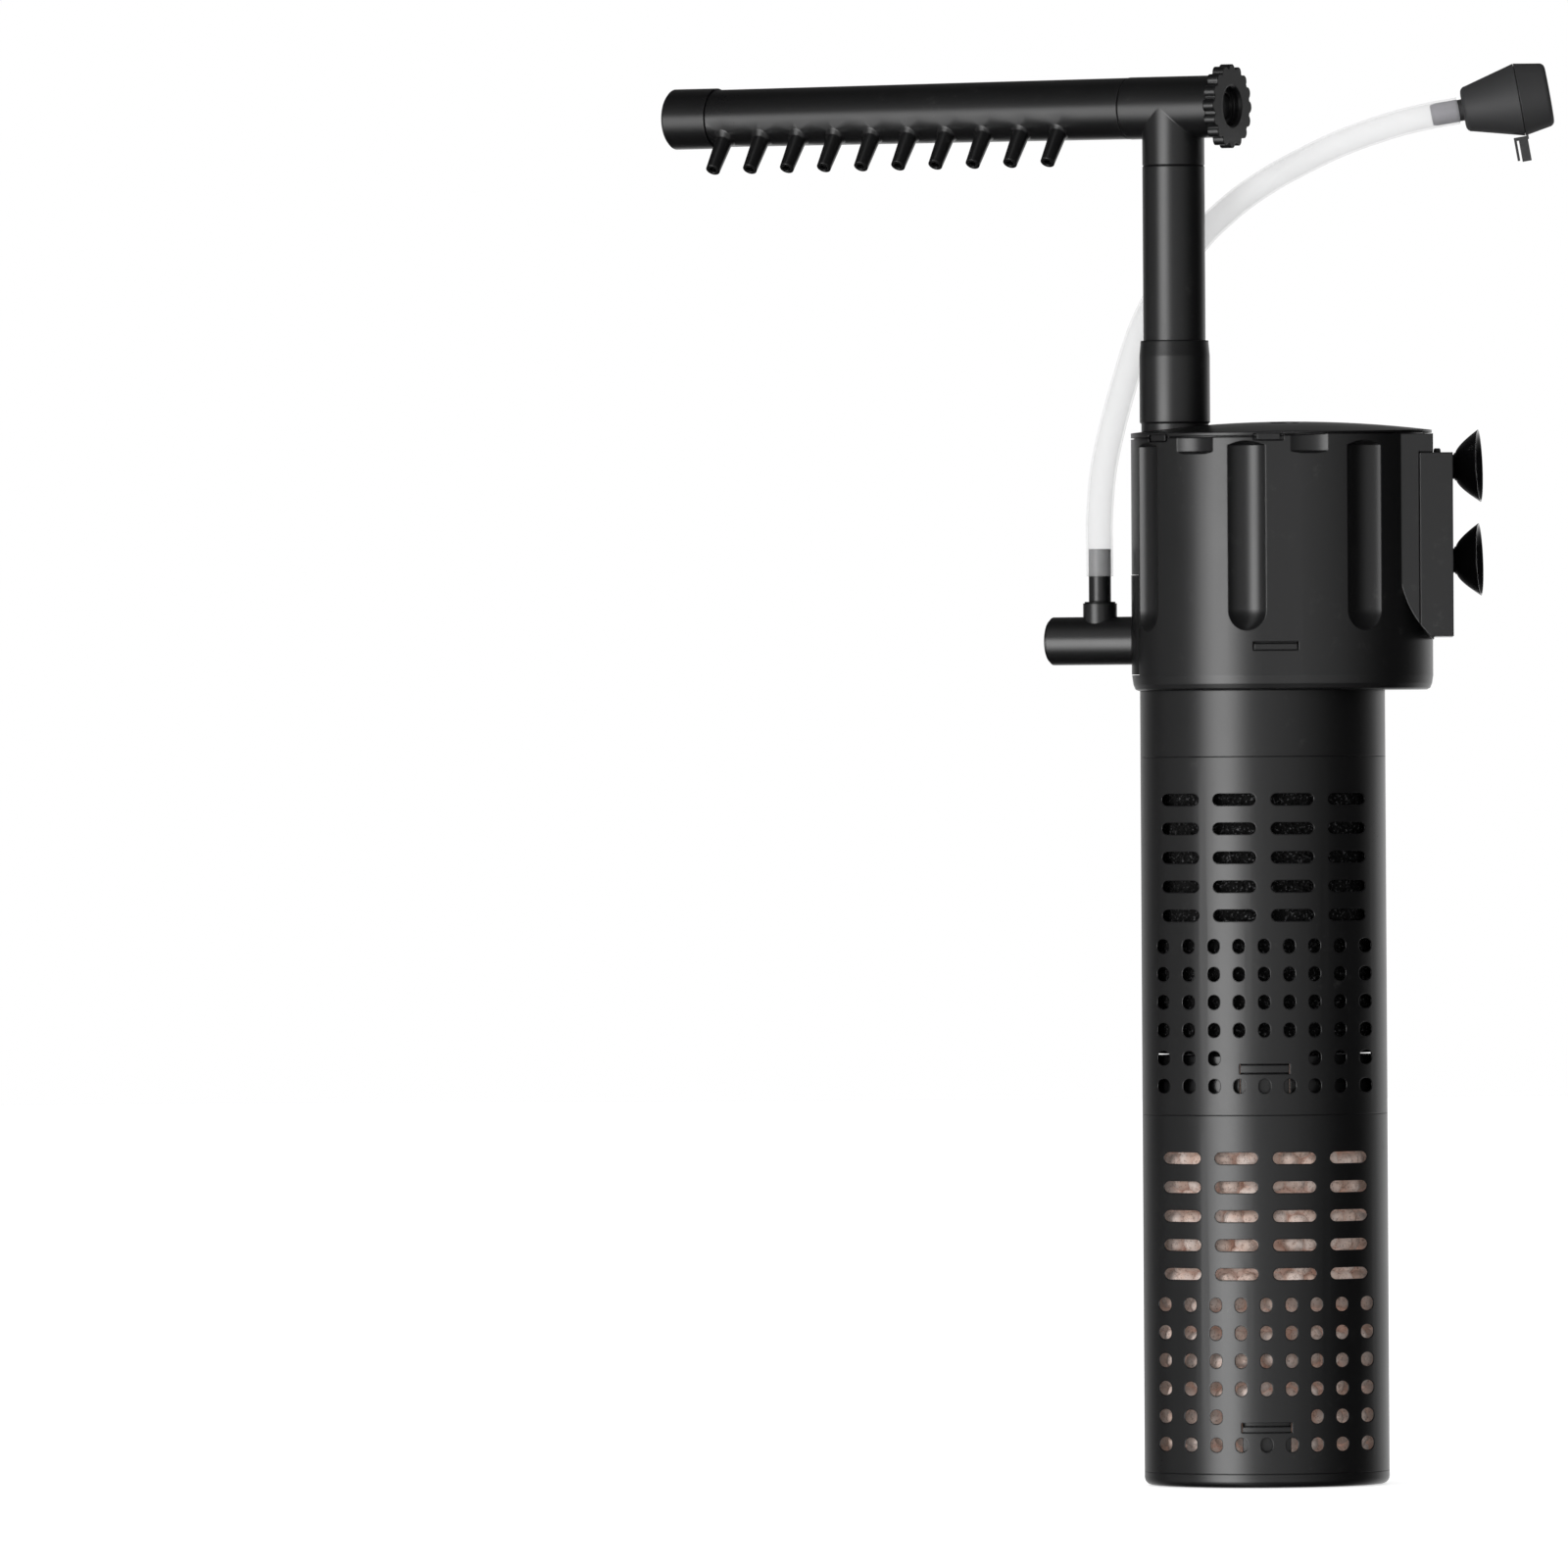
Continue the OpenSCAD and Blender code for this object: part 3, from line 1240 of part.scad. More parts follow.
// The cap turns on the cone's wide end. Its lever reaches back over the cone.
module valve_cap() {
    r = valve_d2 / 2;
    l = valve_neck_l + valve_cone_l + valve_split;
    back = l - lever_t - 2 * fin_t + 0.3;
    steps = 5;
    color([0.19, 0.19, 0.2]) valve_frame() {
        rotate_extrude() polygon(concat(
            [[0, l], [r, l]],
            [for (i = [0:steps]) let (a = 90 * i / steps)
                [r - cap_taper - cap_round * (1 - cos(a)), l + valve_cap_l - cap_round * (1 - sin(a))]],
            [[0, l + valve_cap_l]]
        ));
        translate([r + valve_split, -lever_w / 2, l + 0.3 - lever_t]) cube([lever_l, lever_w, lever_t]);
        translate([r + valve_split, -lever_w / 2, back]) cube([lever_l - 0.4, lever_w, fin_t]);
        translate([r + valve_split, -lever_w / 2, back]) cube([0.8, lever_w, l + 0.6 - back]);
        translate([r - 1, -lever_w / 2, l + 0.1]) cube([1 + valve_split + 0.8, lever_w, 0.5]);
    }
}

base_cap();
base_latches();
ceramic_media();
lower_basket();
lower_latches();
filter_sponge();
upper_basket();
upper_latches();
intake_collar();
head_latches();
pump_housing();
intake_plate();
pump_chamber();
outlet_chamber();
top_lid();
cord_gland();
riser_socket();
motor_case();
stator_core();
stator_coils();
rotor_well();
rotor_shaft();
lower_bush();
upper_bush();
impeller();
rotor_magnet();
outlet_nozzle();
suction_bracket();
suction_cups();
riser_pipe();
riser_seal();
tee();
spray_bar();
bar_seal();
bar_end_cap();
flow_dial();
dial_seal();
air_tube();
air_valve();
valve_cap();
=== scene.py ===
# Submersible aquarium filter: finishes, filter media, rubber cups and the air hose
import json
import math

import bmesh
import bpy
import numpy as np
from mathutils import Euler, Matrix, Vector


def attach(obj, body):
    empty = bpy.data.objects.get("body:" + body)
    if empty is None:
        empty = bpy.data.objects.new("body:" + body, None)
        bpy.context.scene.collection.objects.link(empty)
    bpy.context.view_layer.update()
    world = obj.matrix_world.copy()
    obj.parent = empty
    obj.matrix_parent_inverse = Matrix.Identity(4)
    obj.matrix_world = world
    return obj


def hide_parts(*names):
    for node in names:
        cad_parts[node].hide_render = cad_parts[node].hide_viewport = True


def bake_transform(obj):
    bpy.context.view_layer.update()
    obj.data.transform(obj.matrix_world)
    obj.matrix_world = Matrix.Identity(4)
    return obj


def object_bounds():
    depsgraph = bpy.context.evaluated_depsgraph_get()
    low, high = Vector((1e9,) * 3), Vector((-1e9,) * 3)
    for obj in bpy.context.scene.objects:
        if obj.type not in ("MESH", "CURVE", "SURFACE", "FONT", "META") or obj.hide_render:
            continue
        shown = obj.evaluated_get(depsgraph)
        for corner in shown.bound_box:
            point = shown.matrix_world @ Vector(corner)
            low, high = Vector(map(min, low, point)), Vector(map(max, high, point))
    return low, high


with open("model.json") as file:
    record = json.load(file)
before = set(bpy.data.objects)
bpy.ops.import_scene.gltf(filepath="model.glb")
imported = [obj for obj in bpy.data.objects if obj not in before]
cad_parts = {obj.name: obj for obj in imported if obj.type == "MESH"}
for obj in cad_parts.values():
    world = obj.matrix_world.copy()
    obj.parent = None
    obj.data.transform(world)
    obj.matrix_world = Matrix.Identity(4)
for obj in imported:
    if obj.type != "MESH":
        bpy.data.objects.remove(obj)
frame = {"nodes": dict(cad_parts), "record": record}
cadBox = [list(corner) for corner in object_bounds()]
nodes = frame["nodes"]
mm = 0.001
centre, rightward, backward, upward = (0, 0, 0), (1, 0, 0), (0, 1, 0), (0, 0, 1)
print("frame loaded:", len(nodes), "nodes")


# camera

cameraSet = {
    "lens": 441.0,  # mm
    "sensor": 36.0,  # mm
    "place": (0.0, -4.9, 0.1785),  # m
    "far": 50.0,  # m
    "roll": 0.35,  # degrees
    "shift": -0.3055,  # share of the sensor's width
}


def makeCamera(s):
    data = bpy.data.cameras.new("camera")
    data.lens = s["lens"]
    data.sensor_width = s["sensor"]
    data.shift_x = s["shift"]
    data.clip_end = s["far"]
    camera = bpy.data.objects.new("camera", data)
    bpy.context.scene.collection.objects.link(camera)
    camera.location = s["place"]
    camera.rotation_euler = Euler((math.radians(90), math.radians(s["roll"]), 0), "XYZ")
    bpy.context.scene.camera = camera


makeCamera(cameraSet)


# meshes from arrays

weldGap = 1e-7  # m
# how steep a ripple's waves are against the one asked for, and what brings their sum to about 1
rippleSet = {"steepness": (0.6, 1.6), "height": 1.4}


def gridFaces(rows, cols, closeRows=False):
    # quads between neighbouring points of a grid numbered row by row, each row a closed ring
    i = np.arange(rows if closeRows else rows - 1)[:, None]
    j = np.arange(cols)[None, :]
    nextI, nextJ = (i + 1) % rows, (j + 1) % cols
    quads = np.stack([i * cols + j, i * cols + nextJ, nextI * cols + nextJ, nextI * cols + j], -1)
    return quads.reshape(-1, 4)


def newPiece(name, points, faces, rounded=True):
    # points in metres, faces as index quads; a rounded piece has its doubles welded and shades smooth
    mesh = bpy.data.meshes.new(name)
    mesh.from_pydata(points.reshape(-1, 3).tolist(), [], faces.tolist())
    if rounded:
        work = bmesh.new()
        work.from_mesh(mesh)
        bmesh.ops.remove_doubles(work, verts=work.verts, dist=weldGap)
        bmesh.ops.dissolve_degenerate(work, edges=work.edges, dist=weldGap)
        bmesh.ops.recalc_face_normals(work, faces=work.faces)
        work.to_mesh(mesh)
        work.free()
    mesh.polygons.foreach_set("use_smooth", np.full(len(mesh.polygons), rounded))
    mesh.update()
    piece = bpy.data.objects.new(name, mesh)
    bpy.context.scene.collection.objects.link(piece)
    return piece


def circle(sides):
    # cosines and sines round a turn, shaped to multiply one vector for each ring
    turn = np.linspace(0, 2 * np.pi, sides, endpoint=False)[None, :, None]
    return np.cos(turn), np.sin(turn)


def revolve(profile, sides, origin, axis, up):
    # each (radius, distance) pair of the profile is turned about the axis through origin
    axis = np.array(axis, float) / np.linalg.norm(axis)
    side = np.cross(axis, up)
    side /= np.linalg.norm(side)
    back = np.cross(axis, side)
    cosines, sines = circle(sides)
    profile = np.asarray(profile, float)
    radius, reach = profile[:, 0, None, None], profile[:, 1, None, None]
    return np.asarray(origin) + reach * axis + radius * (cosines * side + sines * back)


def ripple(points, wave, count, seed, s=rippleSet):
    # a sum of cosine waves of about that length in random directions, mostly between -1 and 1
    rng = np.random.default_rng(seed)
    ways = rng.normal(size=(count, 3))
    steepness = (2 * np.pi / wave) * rng.uniform(*s["steepness"], (count, 1))
    ways *= steepness / np.linalg.norm(ways, axis=1)[:, None]
    phase = rng.uniform(0, 2 * np.pi, count)
    return np.cos(points @ ways.T + phase).sum(-1) / math.sqrt(count) / s["height"]


# shader graphs

class Socket:
    # a node's output that can be used in an expression
    def __init__(self, graph, out):
        self.graph, self.out = graph, out

    def __add__(self, other):
        return self.graph.maths("ADD", self, other)

    def __sub__(self, other):
        return self.graph.maths("SUBTRACT", self, other)

    def __rsub__(self, other):
        return self.graph.maths("SUBTRACT", other, self)

    def __mul__(self, other):
        return self.graph.maths("MULTIPLY", self, other)


class Graph:
    def __init__(self, owner):
        owner.use_nodes = True
        self.tree = owner.node_tree
        self.tree.nodes.clear()

    def node(self, kind, settings=None, sockets=None, out=0):
        made = self.tree.nodes.new(kind)
        for key, value in (settings or {}).items():
            setattr(made, key, value)
        for key, value in (sockets or {}).items():
            if isinstance(value, Socket):
                self.tree.links.new(value.out, made.inputs[key])
            else:
                made.inputs[key].default_value = value
        return Socket(self, made.outputs[out]) if made.outputs else None

    def maths(self, operation, a, b=0.0):
        return self.node("ShaderNodeMath", {"operation": operation}, {0: a, 1: b})

    def place(self):
        return self.node("ShaderNodeTexCoord", out="Object")

    def noise(self, scale, detail=2.0, rough=0.5, at=None):
        return self.node("ShaderNodeTexNoise", {}, {
            "Vector": at or self.place(), "Scale": scale, "Detail": detail, "Roughness": rough})

    def cells(self, scale, at):
        return self.node("ShaderNodeTexVoronoi", {}, {"Vector": at, "Scale": scale}, "Distance")

    def stretch(self, value, low, high):
        # low and high become 0 and 1
        sockets = {"Value": value, "From Min": low, "From Max": high}
        return self.node("ShaderNodeMapRange", {"clamp": True}, sockets)

    def sway(self, value, width):
        # 0 to 1 becomes minus half the width to half of it
        return (value - 0.5) * width

    def ramp(self, amount, stops):
        # stops are (place, grey) pairs from 0 to 1; a new ramp holds its two ends already
        made = self.node("ShaderNodeValToRGB", {}, {0: amount})
        elements = made.out.node.color_ramp.elements
        for at, grey in stops[1:-1]:
            elements.new(at).color = rgb((grey,) * 3)
        elements[0].color, elements[-1].color = rgb((stops[0][1],) * 3), rgb((stops[-1][1],) * 3)
        return made

    def mix(self, amount, a, b):
        return self.node("ShaderNodeMix", {"data_type": "RGBA"}, {0: amount, 6: a, 7: b}, 2)

    def bump(self, height, strength, distance, edge=0.0):
        # edge is the radius at which sharp edges look rounded
        sockets = {"Height": height, "Strength": strength, "Distance": distance}
        if edge:
            sockets["Normal"] = self.node("ShaderNodeBevel", {"samples": 6}, {"Radius": edge})
        return self.node("ShaderNodeBump", {}, sockets)

    def surface(self, sockets):
        self.finish(self.node("ShaderNodeBsdfPrincipled", {}, sockets))

    def finish(self, shader):
        self.node("ShaderNodeOutputMaterial", {}, {"Surface": shader})


def rgb(colour, level=1.0):
    return (*(level * c for c in colour), 1.0)


# finishes; a scale counts features in a metre, a depth is in metres

mouldedSet = {
    "blackAbs": {"colour": (0.0058, 0.0058, 0.0061), "rough": 0.30, "grain": 0.05, "edge": 0.00045},
    "innerAbs": {"colour": (0.030, 0.030, 0.033), "rough": 0.45, "grain": 0.10, "edge": 0.0002},
    "stub": {"colour": (0.095, 0.088, 0.115), "rough": 0.5, "grain": 0.05, "edge": 0.0},
    "valveRubber": {"colour": (0.030, 0.030, 0.031), "rough": 0.62, "grain": 0.16, "edge": 0.0004},
    "glossRubber": {"colour": (0.004, 0.004, 0.0043), "rough": 0.13, "grain": 0.02, "edge": 0.0003},
    "sealRubber": {"colour": (0.012, 0.012, 0.012), "rough": 0.42, "grain": 0.05, "edge": 0.0},
    "rotorPlastic": {"colour": (0.62, 0.62, 0.58), "rough": 0.40, "grain": 0.05, "edge": 0.0002},
}
# what all moulded skins share; rough is how far each pattern changes the roughness
skinSet = {
    "cloudScale": 26.0, "cloudRough": 0.10, "cloudTones": (0.9, 1.1),
    "grainScale": 1400.0, "grainRough": 0.05, "grainDepth": 0.00006,
    "dustScale": 260.0, "dustRough": 0.10, "dustShare": 0.05, "dustColour": (0.35, 0.34, 0.32),
}


def moulded(name, s, skin=skinSet):
    # plastic or rubber from a mould: cloudy sheen, fine tool grain, a little dust, rounded edges
    material = bpy.data.materials.new(name)
    g = Graph(material)
    at = g.place()
    cloud = g.noise(skin["cloudScale"], 3.0, 0.55, at)
    grain = g.noise(skin["grainScale"], 2.0, 0.6, at)
    dust = g.stretch(g.noise(skin["dustScale"], 4.0, 0.7, at), 0.60, 0.78) * g.stretch(cloud, 0.45, 0.65)
    darker, lighter = (rgb(s["colour"], tone) for tone in skin["cloudTones"])
    body = g.mix(g.stretch(cloud, 0.3, 0.7), darker, lighter)
    rough = g.sway(cloud, skin["cloudRough"]) + g.sway(grain, skin["grainRough"])
    g.surface({
        "Base Color": g.mix(dust * skin["dustShare"], body, rgb(skin["dustColour"])),
        "Roughness": rough + dust * skin["dustRough"] + s["rough"], "IOR": 1.5,
        "Normal": g.bump(grain, s["grain"], skin["grainDepth"], s["edge"])})
    return material


foamLook = {
    "cellScale": 620.0, "strutScale": 1500.0, "pitDepth": 0.0008,
    # dark is the painted shade in the cells' pits; bright is the struts
    "dark": (0.003, 0.003, 0.003), "bright": (0.16, 0.16, 0.165),
}


def foamFinish(s):
    # open-cell foam: small cells whose pits are painted dark as shade, with lighter struts between them
    material = bpy.data.materials.new("filterFoam")
    g = Graph(material)
    at = g.place()
    # the pits dent the bump and carry the painted shade
    pitAndShade = g.stretch(g.cells(s["cellScale"], at), 0.15, 0.55)
    strut = g.stretch(g.noise(s["strutScale"], 3.0, 0.7, at), 0.56, 0.72) * pitAndShade
    g.surface({
        "Base Color": g.mix(strut, rgb(s["dark"]), rgb(s["bright"])),
        "Roughness": 0.9, "Specular IOR Level": 0.2,
        "Normal": g.bump(pitAndShade, 0.8, s["pitDepth"])})
    return material


ceramicLook = {
    # glow is painted light: the clay gives off a little of its own colour
    "pale": (0.82, 0.69, 0.63), "warm": (0.68, 0.50, 0.42), "stain": (0.17, 0.09, 0.06), "glow": 0.10,
    "patchScale": 150.0, "speckScale": 900.0, "poreScale": 1500.0, "poreDepth": 0.0003,
    # how much of the stain shows in a speck and in a pore
    "speckStain": 0.55, "poreStain": 0.5,
}


def ceramicFinish(s):
    # fired porous clay: pale and rosy patches, brown specks and pores, and a faint glow in its own
    # colour that is painted light
    material = bpy.data.materials.new("firedClay")
    g = Graph(material)
    at = g.place()
    patch = g.stretch(g.noise(s["patchScale"], 3.0, 0.6, at), 0.38, 0.62)
    speck = g.stretch(g.noise(s["speckScale"], 3.0, 0.65, at), 0.56, 0.70)
    pore = g.stretch(g.cells(s["poreScale"], at), 0.05, 0.32)
    body = g.mix(patch, rgb(s["warm"]), rgb(s["pale"]))
    body = g.mix(speck * s["speckStain"], body, rgb(s["stain"]))
    body = g.mix((1 - pore) * s["poreStain"], body, rgb(s["stain"]))
    g.surface({
        "Base Color": body, "Roughness": 0.85, "Specular IOR Level": 0.3,
        # the emission is painted light that brightens the clay behind the openings
        "Emission Color": body, "Emission Strength": s["glow"],
        "Normal": g.bump(pore + patch * 0.4 - speck * 0.3, 0.7, s["poreDepth"])})
    return material


hoseLook = {
    "pale": (0.84, 0.84, 0.85), "clear": (0.87, 0.87, 0.875), "alpha": 0.17, "rough": 0.6,
    "hazeScale": 24.0, "hazeAlpha": 0.03, "hazeRough": 0.08,
}


def hoseFinish(s):
    # milky vinyl, half clear, that lets the fittings show through
    material = bpy.data.materials.new("milkyVinyl")
    g = Graph(material)
    haze = g.noise(s["hazeScale"])
    g.surface({
        "Base Color": g.mix(haze, rgb(s["pale"]), rgb(s["clear"])), "IOR": 1.4,
        "Roughness": g.sway(haze, s["hazeRough"]) + s["rough"],
        "Alpha": g.sway(haze, s["hazeAlpha"]) + s["alpha"]})
    return material


metalSet = {
    "steelSheets": {"colour": (0.42, 0.43, 0.45), "rough": 0.4, "lineScale": 320.0, "metallic": 1.0},
    "enamelledWire": {"colour": (0.55, 0.20, 0.09), "rough": 0.3, "lineScale": 700.0, "metallic": 1.0},
    "ferrite": {"colour": (0.05, 0.05, 0.055), "rough": 0.5, "lineScale": 60.0, "metallic": 0.4},
}
# what all metals share
lineSet = {"waver": 0.4, "tone": 0.7, "depth": 0.0001, "cloudScale": 90.0, "cloudRough": 0.2}


def metalFinish(name, s, line=lineSet):
    # sheet stacks, windings and sintered metal, with lines across Z
    material = bpy.data.materials.new(name)
    g = Graph(material)
    at = g.place()
    lines = g.node("ShaderNodeTexWave", {"bands_direction": "Z"}, {
        "Vector": at, "Scale": s["lineScale"], "Distortion": line["waver"]})
    cloud = g.noise(line["cloudScale"], 3.0, 0.5, at)
    g.surface({
        "Base Color": g.mix(lines, rgb(s["colour"], line["tone"]), rgb(s["colour"])),
        "Roughness": g.sway(cloud, line["cloudRough"]) + s["rough"], "Metallic": s["metallic"],
        "Normal": g.bump(lines, 0.4, line["depth"])})
    return material


shaftLook = {
    "warm": (0.78, 0.76, 0.70), "pale": (0.84, 0.82, 0.77), "rough": 0.2,
    "cloudScale": 120.0, "cloudRough": 0.1,
}


def shaftFinish(s):
    # polished ceramic, a little clouded
    material = bpy.data.materials.new("polishedCeramic")
    g = Graph(material)
    cloud = g.noise(s["cloudScale"])
    g.surface({
        "Base Color": g.mix(cloud, rgb(s["warm"]), rgb(s["pale"])),
        "Roughness": g.sway(cloud, s["cloudRough"]) + s["rough"]})
    return material


finishes = {
    "basket_plastic": moulded("basketAbs", mouldedSet["blackAbs"]),
    "head_plastic": moulded("headAbs", mouldedSet["blackAbs"]),
    "inner_plastic": moulded("innerAbs", mouldedSet["innerAbs"]),
    "valve_rubber": moulded("valveRubber", mouldedSet["valveRubber"]),
    "stub": moulded("valveSpigot", mouldedSet["stub"]),
    "cup_rubber": moulded("glossRubber", mouldedSet["glossRubber"]),
    "seal_rubber": moulded("sealRubber", mouldedSet["sealRubber"]),
    "impeller_plastic": moulded("rotorPlastic", mouldedSet["rotorPlastic"]),
    "sponge": foamFinish(foamLook),
    "ceramic": ceramicFinish(ceramicLook),
    "hose": hoseFinish(hoseLook),
    "laminations": metalFinish("steelSheets", metalSet["steelSheets"]),
    "copper": metalFinish("enamelledWire", metalSet["enamelledWire"]),
    "magnet": metalFinish("ferrite", metalSet["ferrite"]),
    "shaft_ceramic": shaftFinish(shaftLook),
}
slotOf = {part["node"]: part["material_slot"] for part in frame["record"]["subparts"]}
for name, thing in nodes.items():
    thing.data.materials.clear()
    thing.data.materials.append(finishes[slotOf[name]])
print("finishes on", len(slotOf), "nodes")


def dress(piece, slotName, body, *replaced):
    # body is None for a piece that bends between two bodies
    piece.data.materials.append(finishes[slotName])
    if body:
        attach(piece, body)
    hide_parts(*replaced)


# bed of ceramic lumps behind the lower basket's openings, in mm

bedSet = {
    "low": 4.3, "high": 107.3,
    # the largest radius in the basket's necks, and the one between them with the heights of its ends
    "narrow": 26.95, "wide": 28.8, "wideFrom": 11.0, "wideTo": 89.4,
    # the latch tongues' half width and top; the bed is narrow behind them too
    "tongueHalf": 8.4, "tongueTop": 20.6, "step": 2.0,
    # rings of lumps behind the openings, round a plain core
    "ringRadius": 25.7, "perRing": 30, "rowStep": 5.0, "coreRadius": 24.2, "coreSides": 32,
    # how far the lumps of a ring stray: round in radians, outward and upward
    "turnStray": 0.04, "reachStray": 0.35, "riseStray": 0.6,
    # a spiral of lumps on top; its turn in radians is the golden angle
    "topCount": 60, "topSpread": 2.9, "topTurn": 2.39996, "topStray": 0.3,
    # a lump's mean radius, its points round and upward, the range of its axes, and its dents
    "lumpSize": 3.15, "lumpSides": 8, "lumpRows": 7, "lumpRange": (0.82, 1.16),
    "dent": 0.07, "dentWave": 1.6, "dentCount": 6,
    "seed": 4,
}


def bedLimit(x, z, s):
    # largest radius: narrow in the necks and behind the latch tongues, wide between them
    low = np.where(np.abs(x) < s["tongueHalf"], s["tongueTop"], s["wideFrom"])
    share = np.clip(np.minimum(z - low + s["step"], s["wideTo"] + s["step"] - z) / s["step"], 0, 1)
    return s["narrow"] + (s["wide"] - s["narrow"]) * share


def lumps(centres, s):
    # ellipsoids with random axes, turns and dents
    rng = np.random.default_rng(s["seed"])
    count, sides, rows = len(centres), s["lumpSides"], s["lumpRows"]
    turn = np.linspace(0, 2 * np.pi, sides, endpoint=False)
    rise = np.linspace(-np.pi / 2, np.pi / 2, rows)
    sphere = np.stack([
        np.cos(rise)[:, None] * np.cos(turn), np.cos(rise)[:, None] * np.sin(turn),
        np.sin(rise)[:, None] * np.ones(sides)], -1).reshape(-1, 3)
    axes, _ = np.linalg.qr(rng.normal(size=(count, 3, 3)))
    axes[:, :, 0] *= np.sign(np.linalg.det(axes))[:, None]
    scale = s["lumpSize"] * rng.uniform(*s["lumpRange"], (count, 1, 3))
    # each lump takes its dents from another part of the ripple
    apart = rng.uniform(0, 50, (count, 1, 3))
    dents = 1 + s["dent"] * ripple(sphere + apart, s["dentWave"], s["dentCount"], s["seed"])[..., None]
    points = np.einsum("nij,nkj->nki", axes, sphere * scale * dents) + centres[:, None]
    first = np.arange(count) * sides * rows
    faces = gridFaces(rows, sides) + first[:, None, None]
    return points, faces.reshape(-1, 4)


def ceramicBed(s):
    rng = np.random.default_rng(s["seed"])
    rows = int((s["high"] - s["low"] - 2 * s["lumpSize"]) / s["rowStep"]) + 1
    row, col = np.meshgrid(np.arange(rows), np.arange(s["perRing"]), indexing="ij")
    angle = (col + 0.5 * (row % 2)) * 2 * np.pi / s["perRing"] + rng.normal(0, s["turnStray"], row.shape)
    z = s["low"] + s["lumpSize"] + row * s["rowStep"] + rng.normal(0, s["riseStray"], row.shape)
    reach = s["ringRadius"] + rng.normal(0, s["reachStray"], row.shape)
    ring = np.stack([reach * np.cos(angle), reach * np.sin(angle), z], -1).reshape(-1, 3)
    count = np.arange(s["topCount"])
    angle = count * s["topTurn"]
    reach = s["topSpread"] * np.sqrt(count)
    depth = s["lumpSize"] - rng.normal(0, s["topStray"], len(count))
    top = np.stack([reach * np.cos(angle), reach * np.sin(angle), s["high"] - depth], -1)
    points, faces = lumps(np.concatenate([ring, top]), s)
    points[..., 2] = np.clip(points[..., 2], s["low"], s["high"])
    flat = np.linalg.norm(points[..., :2], axis=-1)
    limit = bedLimit(points[..., 0], points[..., 2], s)
    points[..., :2] *= np.minimum(1, limit / np.maximum(flat, 1e-6))[..., None]
    coreTop = s["high"] - s["lumpSize"]
    outline = [(0, s["low"]), (s["coreRadius"], s["low"]), (s["coreRadius"], coreTop), (0, coreTop)]
    core = revolve(outline, s["coreSides"], centre, upward, backward)
    coreFaces = gridFaces(len(outline), s["coreSides"]) + points.shape[0] * points.shape[1]
    whole = np.concatenate([points.reshape(-1, 3), core.reshape(-1, 3)])
    piece = newPiece("ceramicBed", whole * mm, np.concatenate([faces, coreFaces]))
    dress(piece, "ceramic", "lower_stage", "ceramic_media")
    print("ceramic bed:", len(ring) + len(top), "lumps")


ceramicBed(bedSet)


# foam cartridge in the upper basket, in mm

foamSet = {
    "low": 110.0, "high": 198.2, "wide": 28.6, "narrow": 26.8, "narrowFrom": 180.3, "step": 2.0,
    # the bore's radius, the size of the outer edges, and the radius inside which a dent leads outward
    "core": 5.2, "edge": 1.2, "skinFrom": 10.0,
    "dent": 0.5, "dentWave": 3.2, "dentCount": 14,
    "wallSteps": 90, "boreSteps": 30, "sides": 160, "seed": 8,
}


def spongeBody(s):
    # a closed outline swept round Z, its skin pushed in by small random waves
    wall = np.linspace(s["low"] + s["edge"], s["high"] - s["edge"], s["wallSteps"])
    outer = np.interp(wall, [s["narrowFrom"], s["narrowFrom"] + s["step"]], [s["wide"], s["narrow"]])
    bore = np.linspace(s["high"], s["low"], s["boreSteps"])
    outline = np.concatenate([
        [(s["core"], s["low"]), (s["wide"] - s["edge"], s["low"])],
        np.stack([outer, wall], -1),
        [(s["narrow"] - s["edge"], s["high"])],
        np.stack([np.full(s["boreSteps"], s["core"]), bore], -1)])
    points = revolve(outline, s["sides"], centre, upward, backward)
    flat = np.linalg.norm(points[..., :2], axis=-1)[..., None]
    depth = np.abs(ripple(points, s["dentWave"], s["dentCount"], s["seed"]))[..., None] * s["dent"]
    points = points - points * (1, 1, 0) / flat * depth * np.sign(flat - s["skinFrom"])
    piece = newPiece("spongeBody", points * mm, gridFaces(len(outline), s["sides"]))
    dress(piece, "sponge", "upper_stage", "filter_sponge")
    print("foam cartridge made")


spongeBody(foamSet)


# rubber suction cups, in mm

cupSet = {
    # the bracket's wall and the cups' heights; the bells lean forward and tilt up, in degrees
    "face": 48.7, "heights": (235.2, 259.1), "lean": 6.0, "tilt": 2.0,
    "stem": 3.15, "stemReach": 0.6, "stemSides": 48,
    # the button behind the bracket's wall: its radius and its ends along the stem
    "button": 4.8, "buttonFrom": -4.7, "buttonTo": -2.9, "buttonEdge": 0.3,
    # the bell starts at lift from the wall, and its neck is that much wider than the stem
    "rim": 9.25, "depth": 6.0, "wall": 1.2, "lift": 1.0, "neck": 0.4, "neckDepth": 0.3,
    # powers that bend its two sides, and how its wall thins to the rim and thickens to the crown
    "outerCurve": 0.7, "hollowCurve": 0.55, "thinning": 0.65, "crown": 1.2,
    "steps": 22, "bellSides": 96,
}


def cupOutline(s):
    # a rounded bell with a thin lip; the hollow is a second, shallower bell
    u = np.linspace(0, 1, s["steps"])
    neck = s["stem"] + s["neck"]
    outer = np.stack([neck + (s["rim"] - neck) * u ** s["outerCurve"], s["lift"] + s["depth"] * u], -1)
    v = u[::-1]
    hollow = (s["rim"] - s["wall"] * (1 - s["thinning"] * v)) * v ** s["hollowCurve"]
    inner = np.stack([hollow, s["lift"] + s["depth"] * v + s["crown"] * s["wall"] * (1 - v)], -1)
    foot = np.array([(0, s["lift"] - s["neckDepth"]), (neck, s["lift"] - s["neckDepth"])])
    return np.concatenate([foot, outer, inner])


